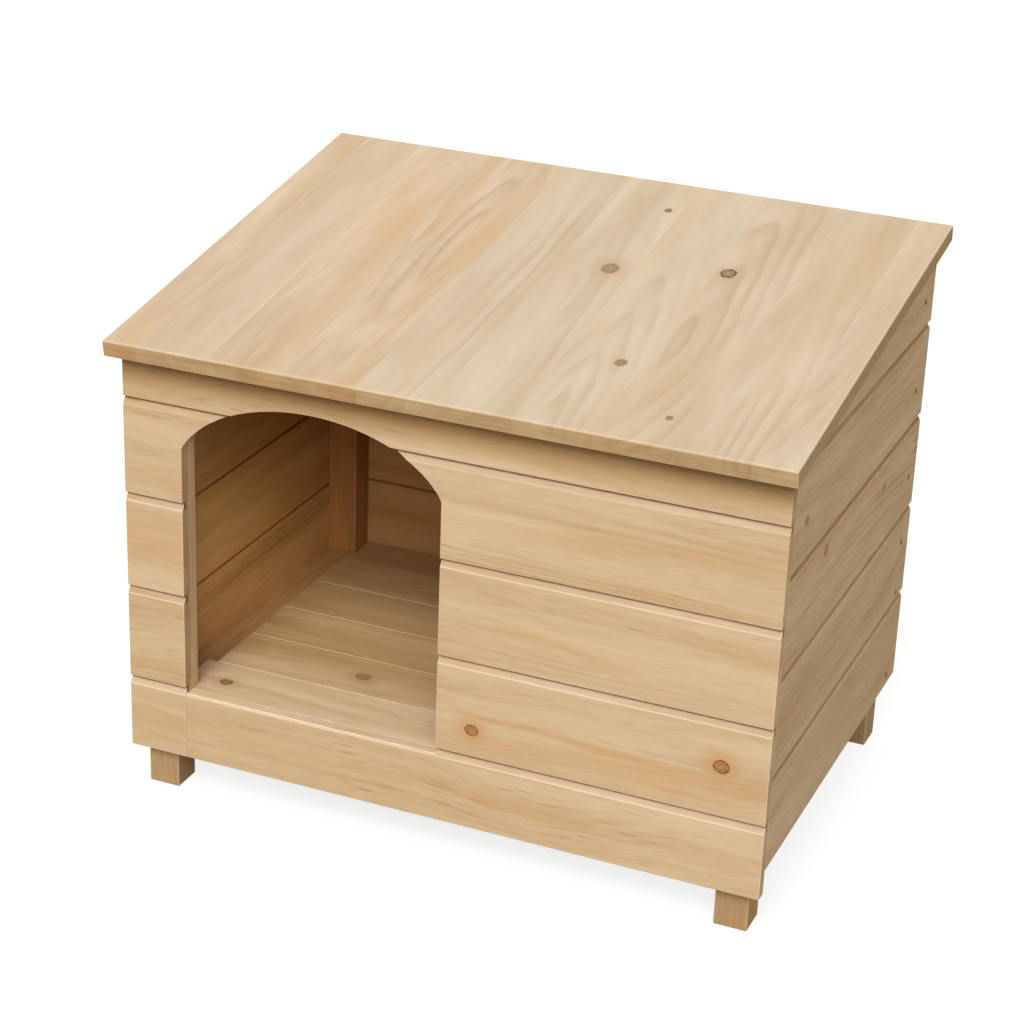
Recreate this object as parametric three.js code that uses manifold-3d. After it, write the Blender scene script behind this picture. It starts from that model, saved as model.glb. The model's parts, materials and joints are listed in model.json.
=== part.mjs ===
// Dog house of shiplap pine boards on four corner posts, with an arched doorway at one end of
// the front wall, a slatted floor and a lean-to roof that lifts on two butt hinges at the back
// and is held open by a slotted stay. Units are millimetres and +Z is up. While the house is
// set out, X = 0 is the left end of the front wall, Y = 0 its outer face and Z = 0 the ground.
import * as THREE from 'three';
import { mergeVertices } from 'three/addons/utils/BufferGeometryUtils.js';
import Module from 'manifold-3d';

const wasm = await Module();
wasm.setup();

// ---------------------------------------------------------------------------------------------
// Driving dimensions
// ---------------------------------------------------------------------------------------------

const CLEARANCE = 0.3;            // gap kept between two pieces that touch

// Walls
const WALL_WIDTH = 800;           // front wall, outer face to outer face
const WALL_DEPTH = 553;           // front wall's outer face to rear wall's outer face
const ROOF_SLOPE = 9.3;           // degrees, rising to the rear
const FRONT_BASE = 54;            // lower edge of the front wall
const SIDE_BASE = 84;             // lower edge of the side and rear walls
const FRONT_FIRST_JOINT = 148;    // top of the sill board's row

// Shiplap boards
const BOARD_THICKNESS = 15;
const BOARD_PITCH = 120;          // height that each board covers
const LIP_THICKNESS = 8;          // outer lip that hangs over the tongue below it
const LAP_HEIGHT = 8;             // how far a tongue reaches up behind the next board
const CHAMFER_HEIGHT = 10;        // bevel along the upper edge of each outer face
const CHAMFER_DEPTH = 6;
const INNER_CHAMFER = 2;          // small bevels that leave a groove at each joint on the inside
const FRONT_ROWS = 3;             // full rows between the sill board's row and the top board
const TOP_BOARD_COVER = 57;       // height of the front's top board, below the roof's underside
const LEAST_STRIP = 20;           // a remnant lower than this is left on the board below it

// Posts, door framing and rails
const POST_WIDTH = 40;            // square section; the lower ends are the feet
const STILE_WIDTH = 20;
const STILE_DEPTH = 15;
const TOP_RAIL_DEPTH = 20;
const FRONT_RAIL_HEIGHT = 30;
const REAR_RAIL_HEIGHT = 45;

// Doorway
const DOOR_WIDTH = 327;           // from the left stile, which stands against the corner post
const ARCH_RISE = 71;
const ARCH_HEAD = 38;             // wood left above the arch's crown, below the roof's underside
const ARCH_FULLNESS = 1.052;      // width of the ellipse that the arch is cut from, by the doorway's

// Floor
const FLOOR_TOP = 140;
const FLOOR_THICKNESS = 20;       // slats, and the side rails and rear board that lie under their ends
const FRONT_SLAT_WIDTH = 77;      // first slat, behind the sill board
const SLAT_PITCH = 87;
const REAR_BOARD_LEAST = 85;      // of the lower rear board, left bare behind the slats at least
const SIDE_RAIL_WIDTH = 62;
const SLAT_BEARING = 10;          // how far the slats lie over the side rails and the rear board
const BEARER_WIDTH = 25;
const BEARER_HEIGHT = 30;

// Roof
const ROOF_THICKNESS = 20;
const OVERHANG_SIDE = 10;
const OVERHANG_FRONT = 22;
const OVERHANG_REAR = 25;
const ROOF_EDGE_EASE = 1.5;       // small bevel round the panel's upper face
const CLEAT_THICKNESS = 20;
const CLEAT_WIDTH = 42;
const CLEAT_END_GAP = 6;          // from a cleat's end to the corner posts
const FRONT_CLEAT_SETBACK = 26;   // from the front rail, so that the cleat clears it when it lifts
const REAR_CLEAT_SETBACK = 30;    // from the rear rail

// Butt hinges
const HINGE_LENGTH = 63;
const HINGE_INSET = 165;          // from each end of the front wall to the hinge's middle
const KNUCKLE_RADIUS = 4;
const LEAF_THICKNESS = 2;
const WALL_LEAF_REACH = 30;       // from the pin down the wall
const PIN_RADIUS = 2;
const PIN_HEAD_RADIUS = 3.2;
const PIN_HEAD_HEIGHT = 1.5;
const SCREW_HOLE_RADIUS = 1.8;

// Slotted stay
const OPEN_ANGLE = 75;            // degrees, with the roof on its stay
const STAY_RADIUS = 162;          // from the hinge pin to the stay's roof pivot, and to its stud
const STAY_DROP = 15;             // from the roof's underside down to the roof pivot
const STAY_REST_ANGLE = 14;       // degrees between pivot and stud, seen from the hinge pin
const ARM_HALF_WIDTH = 8;
const ARM_THICKNESS = 3;
const STUD_RADIUS = 3;
const STUD_SIDE_PLAY = 0.5;       // in the slot, on each side of the stud
const STUD_SHOULDER_RADIUS = 6;
const STUD_SHOULDER_HEIGHT = 2.8;
const STUD_HEAD_RADIUS = 5.5;
const STUD_HEAD_HEIGHT = 2.2;
const STAY_PLATE_THICKNESS = 2.5;
const STAY_PLATE_WIDTH = 26;
const STAY_PLATE_HEIGHT = 40;
const BRACKET_LENGTH = 40;        // along the slope
const BRACKET_REACH = 26;         // inwards, across the roof's underside
const BRACKET_EAR_RADIUS = 9;

// Facets
const ARCH_SEGMENTS = 28;
const ROUND_SEGMENTS = 20;

// ---------------------------------------------------------------------------------------------
// Derived places
// ---------------------------------------------------------------------------------------------

// Underside of the roof above the front wall's outer face: the wall is laid out in whole boards.
const frontEave = FRONT_FIRST_JOINT + FRONT_ROWS * BOARD_PITCH + TOP_BOARD_COVER;
const slope = THREE.MathUtils.degToRad(ROOF_SLOPE);
const roofUnderside = (y) => frontEave + y * Math.tan(slope);

const innerFront = BOARD_THICKNESS + CLEARANCE;              // behind the front boards
const innerRear = WALL_DEPTH - BOARD_THICKNESS - CLEARANCE;
const innerLeft = BOARD_THICKNESS + CLEARANCE;
const innerRight = WALL_WIDTH - BOARD_THICKNESS - CLEARANCE;
const postReach = POST_WIDTH + CLEARANCE;                    // a post and the gap beside it

const doorLeft = innerLeft + postReach + STILE_WIDTH;
const doorRight = doorLeft + DOOR_WIDTH;
const doorMiddle = doorLeft + DOOR_WIDTH / 2;
const archSpread = Math.acos(1 / ARCH_FULLNESS);             // ellipse's angle at the jambs
const archHalfWidth = (DOOR_WIDTH / 2) * ARCH_FULLNESS;
const archHalfHeight = ARCH_RISE / (1 - Math.sin(archSpread));
const archTop = frontEave - ARCH_HEAD;
const archCentre = archTop - archHalfHeight;
const doorSpring = archTop - ARCH_RISE;                      // where the arch leaves the jambs

// The hinge pin lies just clear of the rear wall's outer face and of the roof's underside.
const knuckleStandoff = KNUCKLE_RADIUS + CLEARANCE;
const pinY = WALL_DEPTH + knuckleStandoff;
const pinZ = roofUnderside(pinY) - knuckleStandoff / Math.cos(slope);

// ---------------------------------------------------------------------------------------------
// Materials
// ---------------------------------------------------------------------------------------------

const wood = (color) => () => new THREE.MeshStandardMaterial({ color, roughness: 0.62, metalness: 0 });
const wallPine = wood(0xd9bd92);
const roofPine = wood(0xd8c09c);
const framePine = wood(0xcfae80);
const floorPine = wood(0xc9a87c);
const steel = () => new THREE.MeshStandardMaterial({ color: 0xb4b6b8, roughness: 0.35, metalness: 1 });

// ---------------------------------------------------------------------------------------------
// Solids
// ---------------------------------------------------------------------------------------------

/** Turns a closed three.js geometry into a solid that can be joined and cut. */
function solidOf(geometry) {
  const bare = geometry.index ? geometry.toNonIndexed() : geometry.clone();
  bare.deleteAttribute('normal');
  bare.deleteAttribute('uv');
  const merged = mergeVertices(bare, 1e-4);
  return new wasm.Manifold(new wasm.Mesh({
    numProp: 3,
    vertProperties: new Float32Array(merged.attributes.position.array),
    triVerts: new Uint32Array(merged.index.array),
  }));
}

/** Turns a solid back into a flat-shaded geometry. */
function geometryOf(solid) {
  const { vertProperties, triVerts } = solid.getMesh();
  const geometry = new THREE.BufferGeometry();
  geometry.setAttribute('position', new THREE.BufferAttribute(vertProperties, 3));
  geometry.setIndex(new THREE.BufferAttribute(triVerts, 1));
  const flat = geometry.toNonIndexed();
  flat.computeVertexNormals();
  return flat;
}

/** A box between two opposite corners. */
function block(low, high) {
  const size = high.map((value, axis) => value - low[axis]);
  const middle = high.map((value, axis) => (value + low[axis]) / 2);
  return new THREE.BoxGeometry(...size).translate(...middle);
}

/** A closed outline extruded along its own normal, which runs from `from` to `to`. */
function extruded(shape, from, to, basis) {
  const geometry = new THREE.ExtrudeGeometry(shape, {
    depth: to - from, bevelEnabled: false, steps: 1, curveSegments: ARCH_SEGMENTS,
  });
  return geometry.translate(0, 0, from).applyMatrix4(new THREE.Matrix4().makeBasis(...basis));
}

const unitX = new THREE.Vector3(1, 0, 0);
const unitY = new THREE.Vector3(0, 1, 0);
const unitZ = new THREE.Vector3(0, 0, 1);
const outlineOf = (points) => new THREE.Shape(points.map(([u, v]) => new THREE.Vector2(u, v)));

/** An outline drawn in Y and Z, extruded along X. */
const alongX = (shape, from, to) => extruded(shape, from, to, [unitY, unitZ, unitX]);

/** An outline drawn in X and Z, extruded along Y. */
const alongY = (shape, from, to) => (
  extruded(shape, -to, -from, [unitX, unitZ, unitY.clone().negate()])
);

/** A round bar along X. */
function bar(radius, from, to, y = 0, z = 0) {
  return new THREE.CylinderGeometry(radius, radius, to - from, ROUND_SEGMENTS)
    .rotateZ(Math.PI / 2)
    .translate((from + to) / 2, y, z);
}

const house = new THREE.Group();

/** Adds a named piece to a group, from a geometry or from a solid. */
function addPiece(group, name, shape, material) {
  const geometry = shape.isBufferGeometry ? shape : geometryOf(shape);
  const mesh = new THREE.Mesh(geometry, material());
  mesh.name = name;
  group.add(mesh);
  return mesh;
}

// Everything above the walls' bevelled tops, used to cut posts, rails and boards to the slope.
const aboveWalls = solidOf(
  new THREE.BoxGeometry(2 * WALL_WIDTH, 4 * WALL_DEPTH, frontEave)
    .translate(WALL_WIDTH / 2, 0, frontEave / 2 - CLEARANCE)
    .rotateX(slope)
    .translate(0, 0, frontEave),
);

const cutToRoof = (geometry) => solidOf(geometry).subtract(aboveWalls);

/** The doorway: straight jambs from the floor's top up to an arch with tighter haunches. */
function doorwayOutline() {
  const outline = new THREE.Shape();
  outline.moveTo(doorLeft, FLOOR_TOP);
  outline.lineTo(doorRight, FLOOR_TOP);
  outline.lineTo(doorRight, doorSpring);
  outline.absellipse(
    doorMiddle, archCentre, archHalfWidth, archHalfHeight, archSpread, Math.PI - archSpread, false, 0,
  );
  outline.lineTo(doorLeft, FLOOR_TOP);
  return outline;
}

const doorway = solidOf(alongY(doorwayOutline(), -BOARD_THICKNESS, 2 * BOARD_THICKNESS));

// ---------------------------------------------------------------------------------------------
// Shiplap boards
// ---------------------------------------------------------------------------------------------

/**
 * Section of one board as [depth from the outer face, height] points. `lapped` boards hang their
 * lip over the board below, and `tongued` boards reach up behind the board above.
 */
function boardSection(bottom, top, lapped, tongued) {
  const underside = lapped
    ? [[0, bottom], [LIP_THICKNESS, bottom], [LIP_THICKNESS, bottom + LAP_HEIGHT],
      [BOARD_THICKNESS - INNER_CHAMFER, bottom + LAP_HEIGHT],
      [BOARD_THICKNESS, bottom + LAP_HEIGHT + INNER_CHAMFER]]
    : [[0, bottom], [BOARD_THICKNESS, bottom]];
  if (!tongued) {
    return [...underside, [BOARD_THICKNESS, top], [0, top]];
  }
  const shoulder = top - CLEARANCE;
  return [
    ...underside,
    [BOARD_THICKNESS, shoulder + LAP_HEIGHT - INNER_CHAMFER],
    [BOARD_THICKNESS - INNER_CHAMFER, shoulder + LAP_HEIGHT],
    [LIP_THICKNESS + CLEARANCE, shoulder + LAP_HEIGHT],
    [LIP_THICKNESS + CLEARANCE, shoulder],
    [CHAMFER_DEPTH, shoulder],
    [0, shoulder - CHAMFER_HEIGHT],
  ];
}

/** Rows of boards from `base` up to the roof, as {bottom, top, lapped, tongued}. */
function boardRows(base, firstJoint, roofHeight) {
  const rows = [];
  let bottom = base;
  let joint = firstJoint;
  while (roofHeight - joint >= LEAST_STRIP) {
    rows.push({ bottom, top: joint, lapped: rows.length > 0, tongued: true });
    bottom = joint;
    joint += BOARD_PITCH;
  }
  rows.push({ bottom, top: roofHeight + BOARD_PITCH, lapped: rows.length > 0, tongued: false });
  return rows;
}

/** A front board between two ends, cut to the roof and to the doorway. */
function frontBoard(row, left, right) {
  const section = boardSection(row.bottom, row.top, row.lapped, row.tongued);
  return cutToRoof(alongX(outlineOf(section), left, right)).subtract(doorway);
}

function addFrontWall() {
  const rows = boardRows(FRONT_BASE, FRONT_FIRST_JOINT, roofUnderside(0));
  const [sillRow, ...upperRows] = rows;
  addPiece(house, 'front_corner_block', frontBoard(sillRow, 0, doorLeft - CLEARANCE), wallPine);
  addPiece(house, 'front_sill_board', frontBoard(sillRow, doorLeft, WALL_WIDTH), wallPine);
  let order = 0;
  let overDoor = 0;
  for (const row of upperRows) {
    const besideDoor = row.tongued && row.top + LAP_HEIGHT < archTop;
    if (besideDoor) {
      order += 1;
      addPiece(house, `front_left_board_${order}`, frontBoard(row, 0, doorMiddle), wallPine);
      addPiece(house, `front_right_board_${order}`, frontBoard(row, doorMiddle, WALL_WIDTH), wallPine);
    } else {
      overDoor += 1;
      const name = row.tongued ? `front_head_board_${overDoor}` : 'front_top_board';
      addPiece(house, name, frontBoard(row, 0, WALL_WIDTH), wallPine);
    }
  }
}

function addSideAndRearWalls() {
  const rows = boardRows(SIDE_BASE, SIDE_BASE + BOARD_PITCH, roofUnderside(WALL_DEPTH));
  rows.forEach((row, index) => {
    const section = boardSection(row.bottom, row.top, row.lapped, row.tongued);
    const number = index + 1;
    const left = outlineOf(section);
    const right = outlineOf(section.map(([depth, height]) => [WALL_WIDTH - depth, height]));
    const rear = outlineOf(section.map(([depth, height]) => [WALL_DEPTH - depth, height]));
    addPiece(house, `left_board_${number}`, cutToRoof(alongY(left, innerFront, WALL_DEPTH)), wallPine);
    addPiece(house, `right_board_${number}`, cutToRoof(alongY(right, innerFront, WALL_DEPTH)), wallPine);
    addPiece(house, `rear_board_${number}`, cutToRoof(alongX(rear, innerLeft, innerRight)), wallPine);
  });
}

// ---------------------------------------------------------------------------------------------
// Frame: posts, door stiles and rails
// ---------------------------------------------------------------------------------------------

function addPosts() {
  const columns = { left: innerLeft, right: innerRight - POST_WIDTH };
  const lines = { front: innerFront, rear: innerRear - POST_WIDTH };
  const postTop = roofUnderside(WALL_DEPTH);
  for (const [line, y] of Object.entries(lines)) {
    for (const [column, x] of Object.entries(columns)) {
      const timber = block([x, y, 0], [x + POST_WIDTH, y + POST_WIDTH, postTop]);
      addPiece(house, `post_${line}_${column}`, cutToRoof(timber), framePine);
    }
  }
}

function addTopRails() {
  const left = innerLeft + postReach;
  const right = innerRight - postReach;
  const rearFace = innerRear - TOP_RAIL_DEPTH;
  const frontBottom = frontEave - FRONT_RAIL_HEIGHT;
  const rearBottom = roofUnderside(rearFace) - REAR_RAIL_HEIGHT;
  const railTop = roofUnderside(WALL_DEPTH);
  const front = block([left, innerFront, frontBottom], [right, innerFront + TOP_RAIL_DEPTH, railTop]);
  const rear = block([left, rearFace, rearBottom], [right, innerRear, railTop]);
  addPiece(house, 'top_rail_front', cutToRoof(front), framePine);
  addPiece(house, 'top_rail_rear', cutToRoof(rear), framePine);
}

function addDoorStiles() {
  const bottom = FLOOR_TOP + CLEARANCE;
  const top = frontEave - FRONT_RAIL_HEIGHT - CLEARANCE;
  const rear = innerFront + STILE_DEPTH;
  const columns = { left: doorLeft - STILE_WIDTH, right: doorRight };
  for (const [column, x] of Object.entries(columns)) {
    const stile = block([x, innerFront, bottom], [x + STILE_WIDTH, rear, top]);
    addPiece(house, `door_stile_${column}`, stile, framePine);
  }
}

// ---------------------------------------------------------------------------------------------
// Floor
// ---------------------------------------------------------------------------------------------

/** The slats' edges from front to rear, which leave the lower rear board bare behind them. */
function slatEdges() {
  const edges = [innerFront, innerFront + FRONT_SLAT_WIDTH];
  while (innerRear - edges[edges.length - 1] >= SLAT_PITCH + REAR_BOARD_LEAST) {
    edges.push(edges[edges.length - 1] + SLAT_PITCH);
  }
  return edges;
}

/** Adds the slats and returns their rear edge. */
function addSlats() {
  const edges = slatEdges();
  const bottom = FLOOR_TOP - FLOOR_THICKNESS;
  for (let index = 0; index + 1 < edges.length; index += 1) {
    const inset = index === 0 ? postReach : SIDE_RAIL_WIDTH - SLAT_BEARING;  // the first fits between the posts
    const slat = block(
      [innerLeft + inset, edges[index], bottom],
      [innerRight - inset, edges[index + 1] - CLEARANCE, FLOOR_TOP],
    );
    addPiece(house, `floor_board_${index + 1}`, slat, floorPine);
  }
  return edges[edges.length - 1];
}

/**
 * Adds what carries the slats: a rail along each side wall between the posts, a rear board as
 * wide as the space between the posts, which the rails are notched for, and three bearers.
 */
function addFloor() {
  const slatRear = addSlats();
  const top = FLOOR_TOP - FLOOR_THICKNESS - CLEARANCE;
  const bottom = top - FLOOR_THICKNESS;
  const rearFront = slatRear - SLAT_BEARING;
  const front = innerFront + postReach;
  const rear = innerRear - postReach;
  const rail = (wide, narrow) => solidOf(block([wide[0], front, bottom], [wide[1], rearFront - CLEARANCE, top]))
    .add(solidOf(block([narrow[0], front, bottom], [narrow[1], rear, top])));
  const leftInner = innerLeft + SIDE_RAIL_WIDTH;
  const rightInner = innerRight - SIDE_RAIL_WIDTH;
  const railLeft = rail([innerLeft, leftInner], [innerLeft, innerLeft + POST_WIDTH]);
  const railRight = rail([rightInner, innerRight], [innerRight - POST_WIDTH, innerRight]);
  addPiece(house, 'floor_rail_left', railLeft, framePine);
  addPiece(house, 'floor_rail_right', railRight, framePine);

  const rearBoard = block([innerLeft + postReach, rearFront, bottom], [innerRight - postReach, innerRear, top]);
  addPiece(house, `floor_board_${slatEdges().length}`, rearBoard, floorPine);

  const bearers = {
    left: leftInner + CLEARANCE,
    middle: (WALL_WIDTH - BEARER_WIDTH) / 2,
    right: rightInner - CLEARANCE - BEARER_WIDTH,
  };
  for (const [column, x] of Object.entries(bearers)) {
    const bearer = block(
      [x, innerFront, top - BEARER_HEIGHT],
      [x + BEARER_WIDTH, rearFront - CLEARANCE, top],
    );
    addPiece(house, `floor_bearer_${column}`, bearer, framePine);
  }
}

// ---------------------------------------------------------------------------------------------
// Roof. Its group is turned to the slope: Y runs up the slope from the front wall's outer face,
// and Z = 0 is the panel's underside.
// ---------------------------------------------------------------------------------------------

const roof = new THREE.Group();
roof.position.set(0, 0, frontEave);
roof.rotation.x = slope;

const alongSlope = (y) => y / Math.cos(slope);

function addRoofPanel() {
  const front = -alongSlope(OVERHANG_FRONT);
  const rear = alongSlope(WALL_DEPTH + OVERHANG_REAR);
  const left = -OVERHANG_SIDE;
  const right = WALL_WIDTH + OVERHANG_SIDE;
  const eased = ROOF_EDGE_EASE;
  const lengthSection = outlineOf([
    [front, 0], [rear, 0], [rear, ROOF_THICKNESS - eased], [rear - eased, ROOF_THICKNESS],
    [front + eased, ROOF_THICKNESS], [front, ROOF_THICKNESS - eased],
  ]);
  const widthSection = outlineOf([
    [left, 0], [right, 0], [right, ROOF_THICKNESS - eased], [right - eased, ROOF_THICKNESS],
    [left + eased, ROOF_THICKNESS], [left, ROOF_THICKNESS - eased],
  ]);
  const panel = solidOf(alongX(lengthSection, left, right))
    .intersect(solidOf(alongY(widthSection, front, rear)));
  addPiece(roof, 'roof_panel', panel, roofPine);
}

function addCleats() {
  const left = innerLeft + postReach + CLEAT_END_GAP;
  const right = innerRight - postReach - CLEAT_END_GAP;
  const frontStart = alongSlope(innerFront + TOP_RAIL_DEPTH + FRONT_CLEAT_SETBACK);
  const rearStart = alongSlope(innerRear - TOP_RAIL_DEPTH - REAR_CLEAT_SETBACK) - CLEAT_WIDTH;
  const low = -CLEARANCE - CLEAT_THICKNESS;
  for (const [line, start] of Object.entries({ front: frontStart, rear: rearStart })) {
    const cleat = block([left, start, low], [right, start + CLEAT_WIDTH, -CLEARANCE]);
    addPiece(roof, `roof_cleat_${line}`, cleat, framePine);
  }
}

// ---------------------------------------------------------------------------------------------
// Butt hinges: the wall leaf carries the two outer knuckles, the roof leaf the middle one.
// ---------------------------------------------------------------------------------------------

const hingeMiddles = { left: HINGE_INSET, right: WALL_WIDTH - HINGE_INSET };
const knuckleLength = HINGE_LENGTH / 3;

/** Knuckles between the given ends, with the bore for the pin still to be cut. */
const knuckles = (spans) => spans
  .map(([from, to]) => solidOf(bar(KNUCKLE_RADIUS, from, to)))
  .reduce((whole, next) => whole.add(next));

/** Room for the other leaf's knuckles, and the pin's bore right through. */
function knuckleRoom(spans) {
  const bore = solidOf(bar(PIN_RADIUS + CLEARANCE, -HINGE_LENGTH, HINGE_LENGTH));
  return spans
    .map(([from, to]) => solidOf(bar(KNUCKLE_RADIUS + 2 * CLEARANCE, from, to)))
    .reduce((whole, next) => whole.add(next), bore);
}

const outerSpans = (gap) => [
  [-HINGE_LENGTH / 2, -knuckleLength / 2 - gap],
  [knuckleLength / 2 + gap, HINGE_LENGTH / 2],
];
const middleSpan = (gap) => [[-knuckleLength / 2 - gap, knuckleLength / 2 + gap]];

/** A screw hole through a leaf, bored along Y or Z. */
function screwHole(x, y, z, boredAlongY) {
  const drill = new THREE.CylinderGeometry(
    SCREW_HOLE_RADIUS, SCREW_HOLE_RADIUS, 6 * LEAF_THICKNESS, ROUND_SEGMENTS / 2,
  );
  return solidOf((boredAlongY ? drill : drill.rotateX(Math.PI / 2)).translate(x, y, z));
}

/** Wall leaf about a pin at the origin: it hangs down the wall from the outer knuckles. */
function wallLeaf() {
  const half = HINGE_LENGTH / 2;
  const plate = block([-half, -KNUCKLE_RADIUS, -WALL_LEAF_REACH], [half, LEAF_THICKNESS - KNUCKLE_RADIUS, 0]);
  let leaf = solidOf(plate).add(knuckles(outerSpans(0)));
  leaf = leaf.subtract(knuckleRoom(middleSpan(CLEARANCE)));
  const middle = LEAF_THICKNESS / 2 - KNUCKLE_RADIUS;
  for (const x of [-HINGE_LENGTH / 3, 0, HINGE_LENGTH / 3]) {
    leaf = leaf.subtract(screwHole(x, middle, -0.62 * WALL_LEAF_REACH, true));
  }
  return leaf;
}

/** Roof leaf about a pin at the origin, in the roof's axes: it runs back under the overhang. */
function roofLeaf() {
  const half = HINGE_LENGTH / 2;
  const reach = alongSlope(OVERHANG_REAR - knuckleStandoff) - LEAF_THICKNESS;
  const plate = block([-half, 0, KNUCKLE_RADIUS - LEAF_THICKNESS], [half, reach, KNUCKLE_RADIUS]);
  let leaf = solidOf(plate).add(knuckles(middleSpan(0)));
  leaf = leaf.subtract(knuckleRoom(outerSpans(-CLEARANCE).map(([from, to]) => [from - 1, to + 1])));
  const middle = KNUCKLE_RADIUS - LEAF_THICKNESS / 2;
  for (const x of [-HINGE_LENGTH / 3, 0, HINGE_LENGTH / 3]) {
    leaf = leaf.subtract(screwHole(x, 0.65 * reach, middle, false));
  }
  return leaf;
}

/** Hinge pin with a small head at each end. */
function hingePin() {
  const half = HINGE_LENGTH / 2 + CLEARANCE;
  const end = half + PIN_HEAD_HEIGHT;
  return solidOf(bar(PIN_RADIUS, -half - PIN_HEAD_HEIGHT / 2, half + PIN_HEAD_HEIGHT / 2))
    .add(solidOf(bar(PIN_HEAD_RADIUS, -end, -half)))
    .add(solidOf(bar(PIN_HEAD_RADIUS, half, end)));
}

function addHinges() {
  for (const [side, x] of Object.entries(hingeMiddles)) {
    addPiece(house, `hinge_wall_leaf_${side}`, wallLeaf(), steel).position.set(x, pinY, pinZ);
    addPiece(house, `hinge_pin_${side}`, hingePin(), steel).position.set(x, pinY, pinZ);
    const leaf = addPiece(house, `hinge_roof_leaf_${side}`, roofLeaf(), steel);
    leaf.position.set(x, pinY, pinZ);
    leaf.rotation.x = slope;
  }
}

// ---------------------------------------------------------------------------------------------
// Slotted stay on the right: a bracket under the roof carries the arm, and the arm's slot runs
// over a headed stud on the wall. Pivot and stud are equally far from the hinge pin, so the arm
// turns through exactly half the roof's angle.
// ---------------------------------------------------------------------------------------------

const stayRestAngle = THREE.MathUtils.degToRad(STAY_REST_ANGLE);
const openAngle = THREE.MathUtils.degToRad(OPEN_ANGLE);
const pivotLift = STAY_DROP - knuckleStandoff;               // pivot below the pin, square to the roof
const pivotBearing = slope + Math.asin(pivotLift / STAY_RADIUS);
const studBearing = pivotBearing + stayRestAngle;

/** A point at the stay's radius, at an angle below the horizontal in front of the hinge pin. */
const fromPin = (bearing) => new THREE.Vector3(
  0,
  pinY - STAY_RADIUS * Math.cos(bearing),
  pinZ - STAY_RADIUS * Math.sin(bearing),
);

const pivot = fromPin(pivotBearing);
const stud = fromPin(studBearing);
const restReach = 2 * STAY_RADIUS * Math.sin(stayRestAngle / 2);
const openReach = 2 * STAY_RADIUS * Math.sin((stayRestAngle + openAngle) / 2);

// Places across the stay, counted inwards from the right wall's inner face.
const plateOuter = innerRight;
const plateInner = plateOuter - STAY_PLATE_THICKNESS;
const armOuter = plateInner - STUD_SHOULDER_HEIGHT - CLEARANCE;
const armInner = armOuter - ARM_THICKNESS;
const headOuter = armInner - CLEARANCE;

/** The arm lies along its own X from the pivot at the origin, and is as thick as its Z. */
function stayArm() {
  const slotHalf = STUD_RADIUS + STUD_SIDE_PLAY;
  const tip = openReach + slotHalf + ARM_HALF_WIDTH / 2;
  const outline = new THREE.Shape();
  outline.absarc(0, 0, ARM_HALF_WIDTH, Math.PI / 2, 3 * Math.PI / 2, false);
  outline.absarc(tip - ARM_HALF_WIDTH / 2, 0, ARM_HALF_WIDTH, -Math.PI / 2, Math.PI / 2, false);
  const eye = new THREE.Path().absarc(0, 0, STUD_RADIUS + CLEARANCE, 0, 2 * Math.PI, true);
  const slot = new THREE.Path();
  slot.absarc(restReach, 0, slotHalf, -Math.PI / 2, Math.PI / 2, true);
  slot.absarc(openReach, 0, slotHalf, Math.PI / 2, -Math.PI / 2, true);
  outline.holes.push(eye, slot);
  const curveSegments = ROUND_SEGMENTS / 2;
  return new THREE.ExtrudeGeometry(outline, { depth: ARM_THICKNESS, bevelEnabled: false, curveSegments });
}

/** Wall plate with its shouldered and headed stud. */
function stayStud() {
  const halfWidth = STAY_PLATE_WIDTH / 2;
  const halfHeight = STAY_PLATE_HEIGHT / 2;
  const plate = block(
    [plateInner, stud.y - halfWidth, stud.z - halfHeight],
    [plateOuter, stud.y + halfWidth, stud.z + halfHeight],
  );
  const overlap = STUD_HEAD_HEIGHT / 2;
  return solidOf(plate)
    .add(solidOf(bar(STUD_SHOULDER_RADIUS, armOuter + CLEARANCE, plateInner + overlap, stud.y, stud.z)))
    .add(solidOf(bar(STUD_RADIUS, headOuter - overlap, plateInner, stud.y, stud.z)))
    .add(solidOf(bar(STUD_HEAD_RADIUS, headOuter - STUD_HEAD_HEIGHT, headOuter, stud.y, stud.z)));
}

// The bracket's ear stands just inside the arm.
const earOuter = armInner - CLEARANCE;
const earInner = earOuter - STAY_PLATE_THICKNESS;
const pivotAlongSlope = alongSlope(pinY)
  - knuckleStandoff * Math.tan(slope) - Math.sqrt(STAY_RADIUS ** 2 - pivotLift ** 2);

/** Angle bracket in the roof's axes: a flange on the underside and an ear round the pivot. */
function stayBracket() {
  const half = BRACKET_LENGTH / 2;
  const flangeLow = -CLEARANCE - STAY_PLATE_THICKNESS;
  const flange = block(
    [earOuter - BRACKET_REACH, pivotAlongSlope - half, flangeLow],
    [earOuter, pivotAlongSlope + half, -CLEARANCE],
  );
  const ear = outlineOf([
    [pivotAlongSlope - half, -CLEARANCE],
    [pivotAlongSlope + half, -CLEARANCE],
    [pivotAlongSlope + half, flangeLow],
    [pivotAlongSlope + BRACKET_EAR_RADIUS, -STAY_DROP],
    [pivotAlongSlope - BRACKET_EAR_RADIUS, -STAY_DROP],
    [pivotAlongSlope - half, flangeLow],
  ]);
  return solidOf(flange)
    .add(solidOf(alongX(ear, earInner, earOuter)))
    .add(solidOf(bar(BRACKET_EAR_RADIUS, earInner, earOuter, pivotAlongSlope, -STAY_DROP)))
    .subtract(solidOf(bar(STUD_RADIUS + CLEARANCE, earInner - 1, earOuter + 1, pivotAlongSlope, -STAY_DROP)));
}

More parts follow.
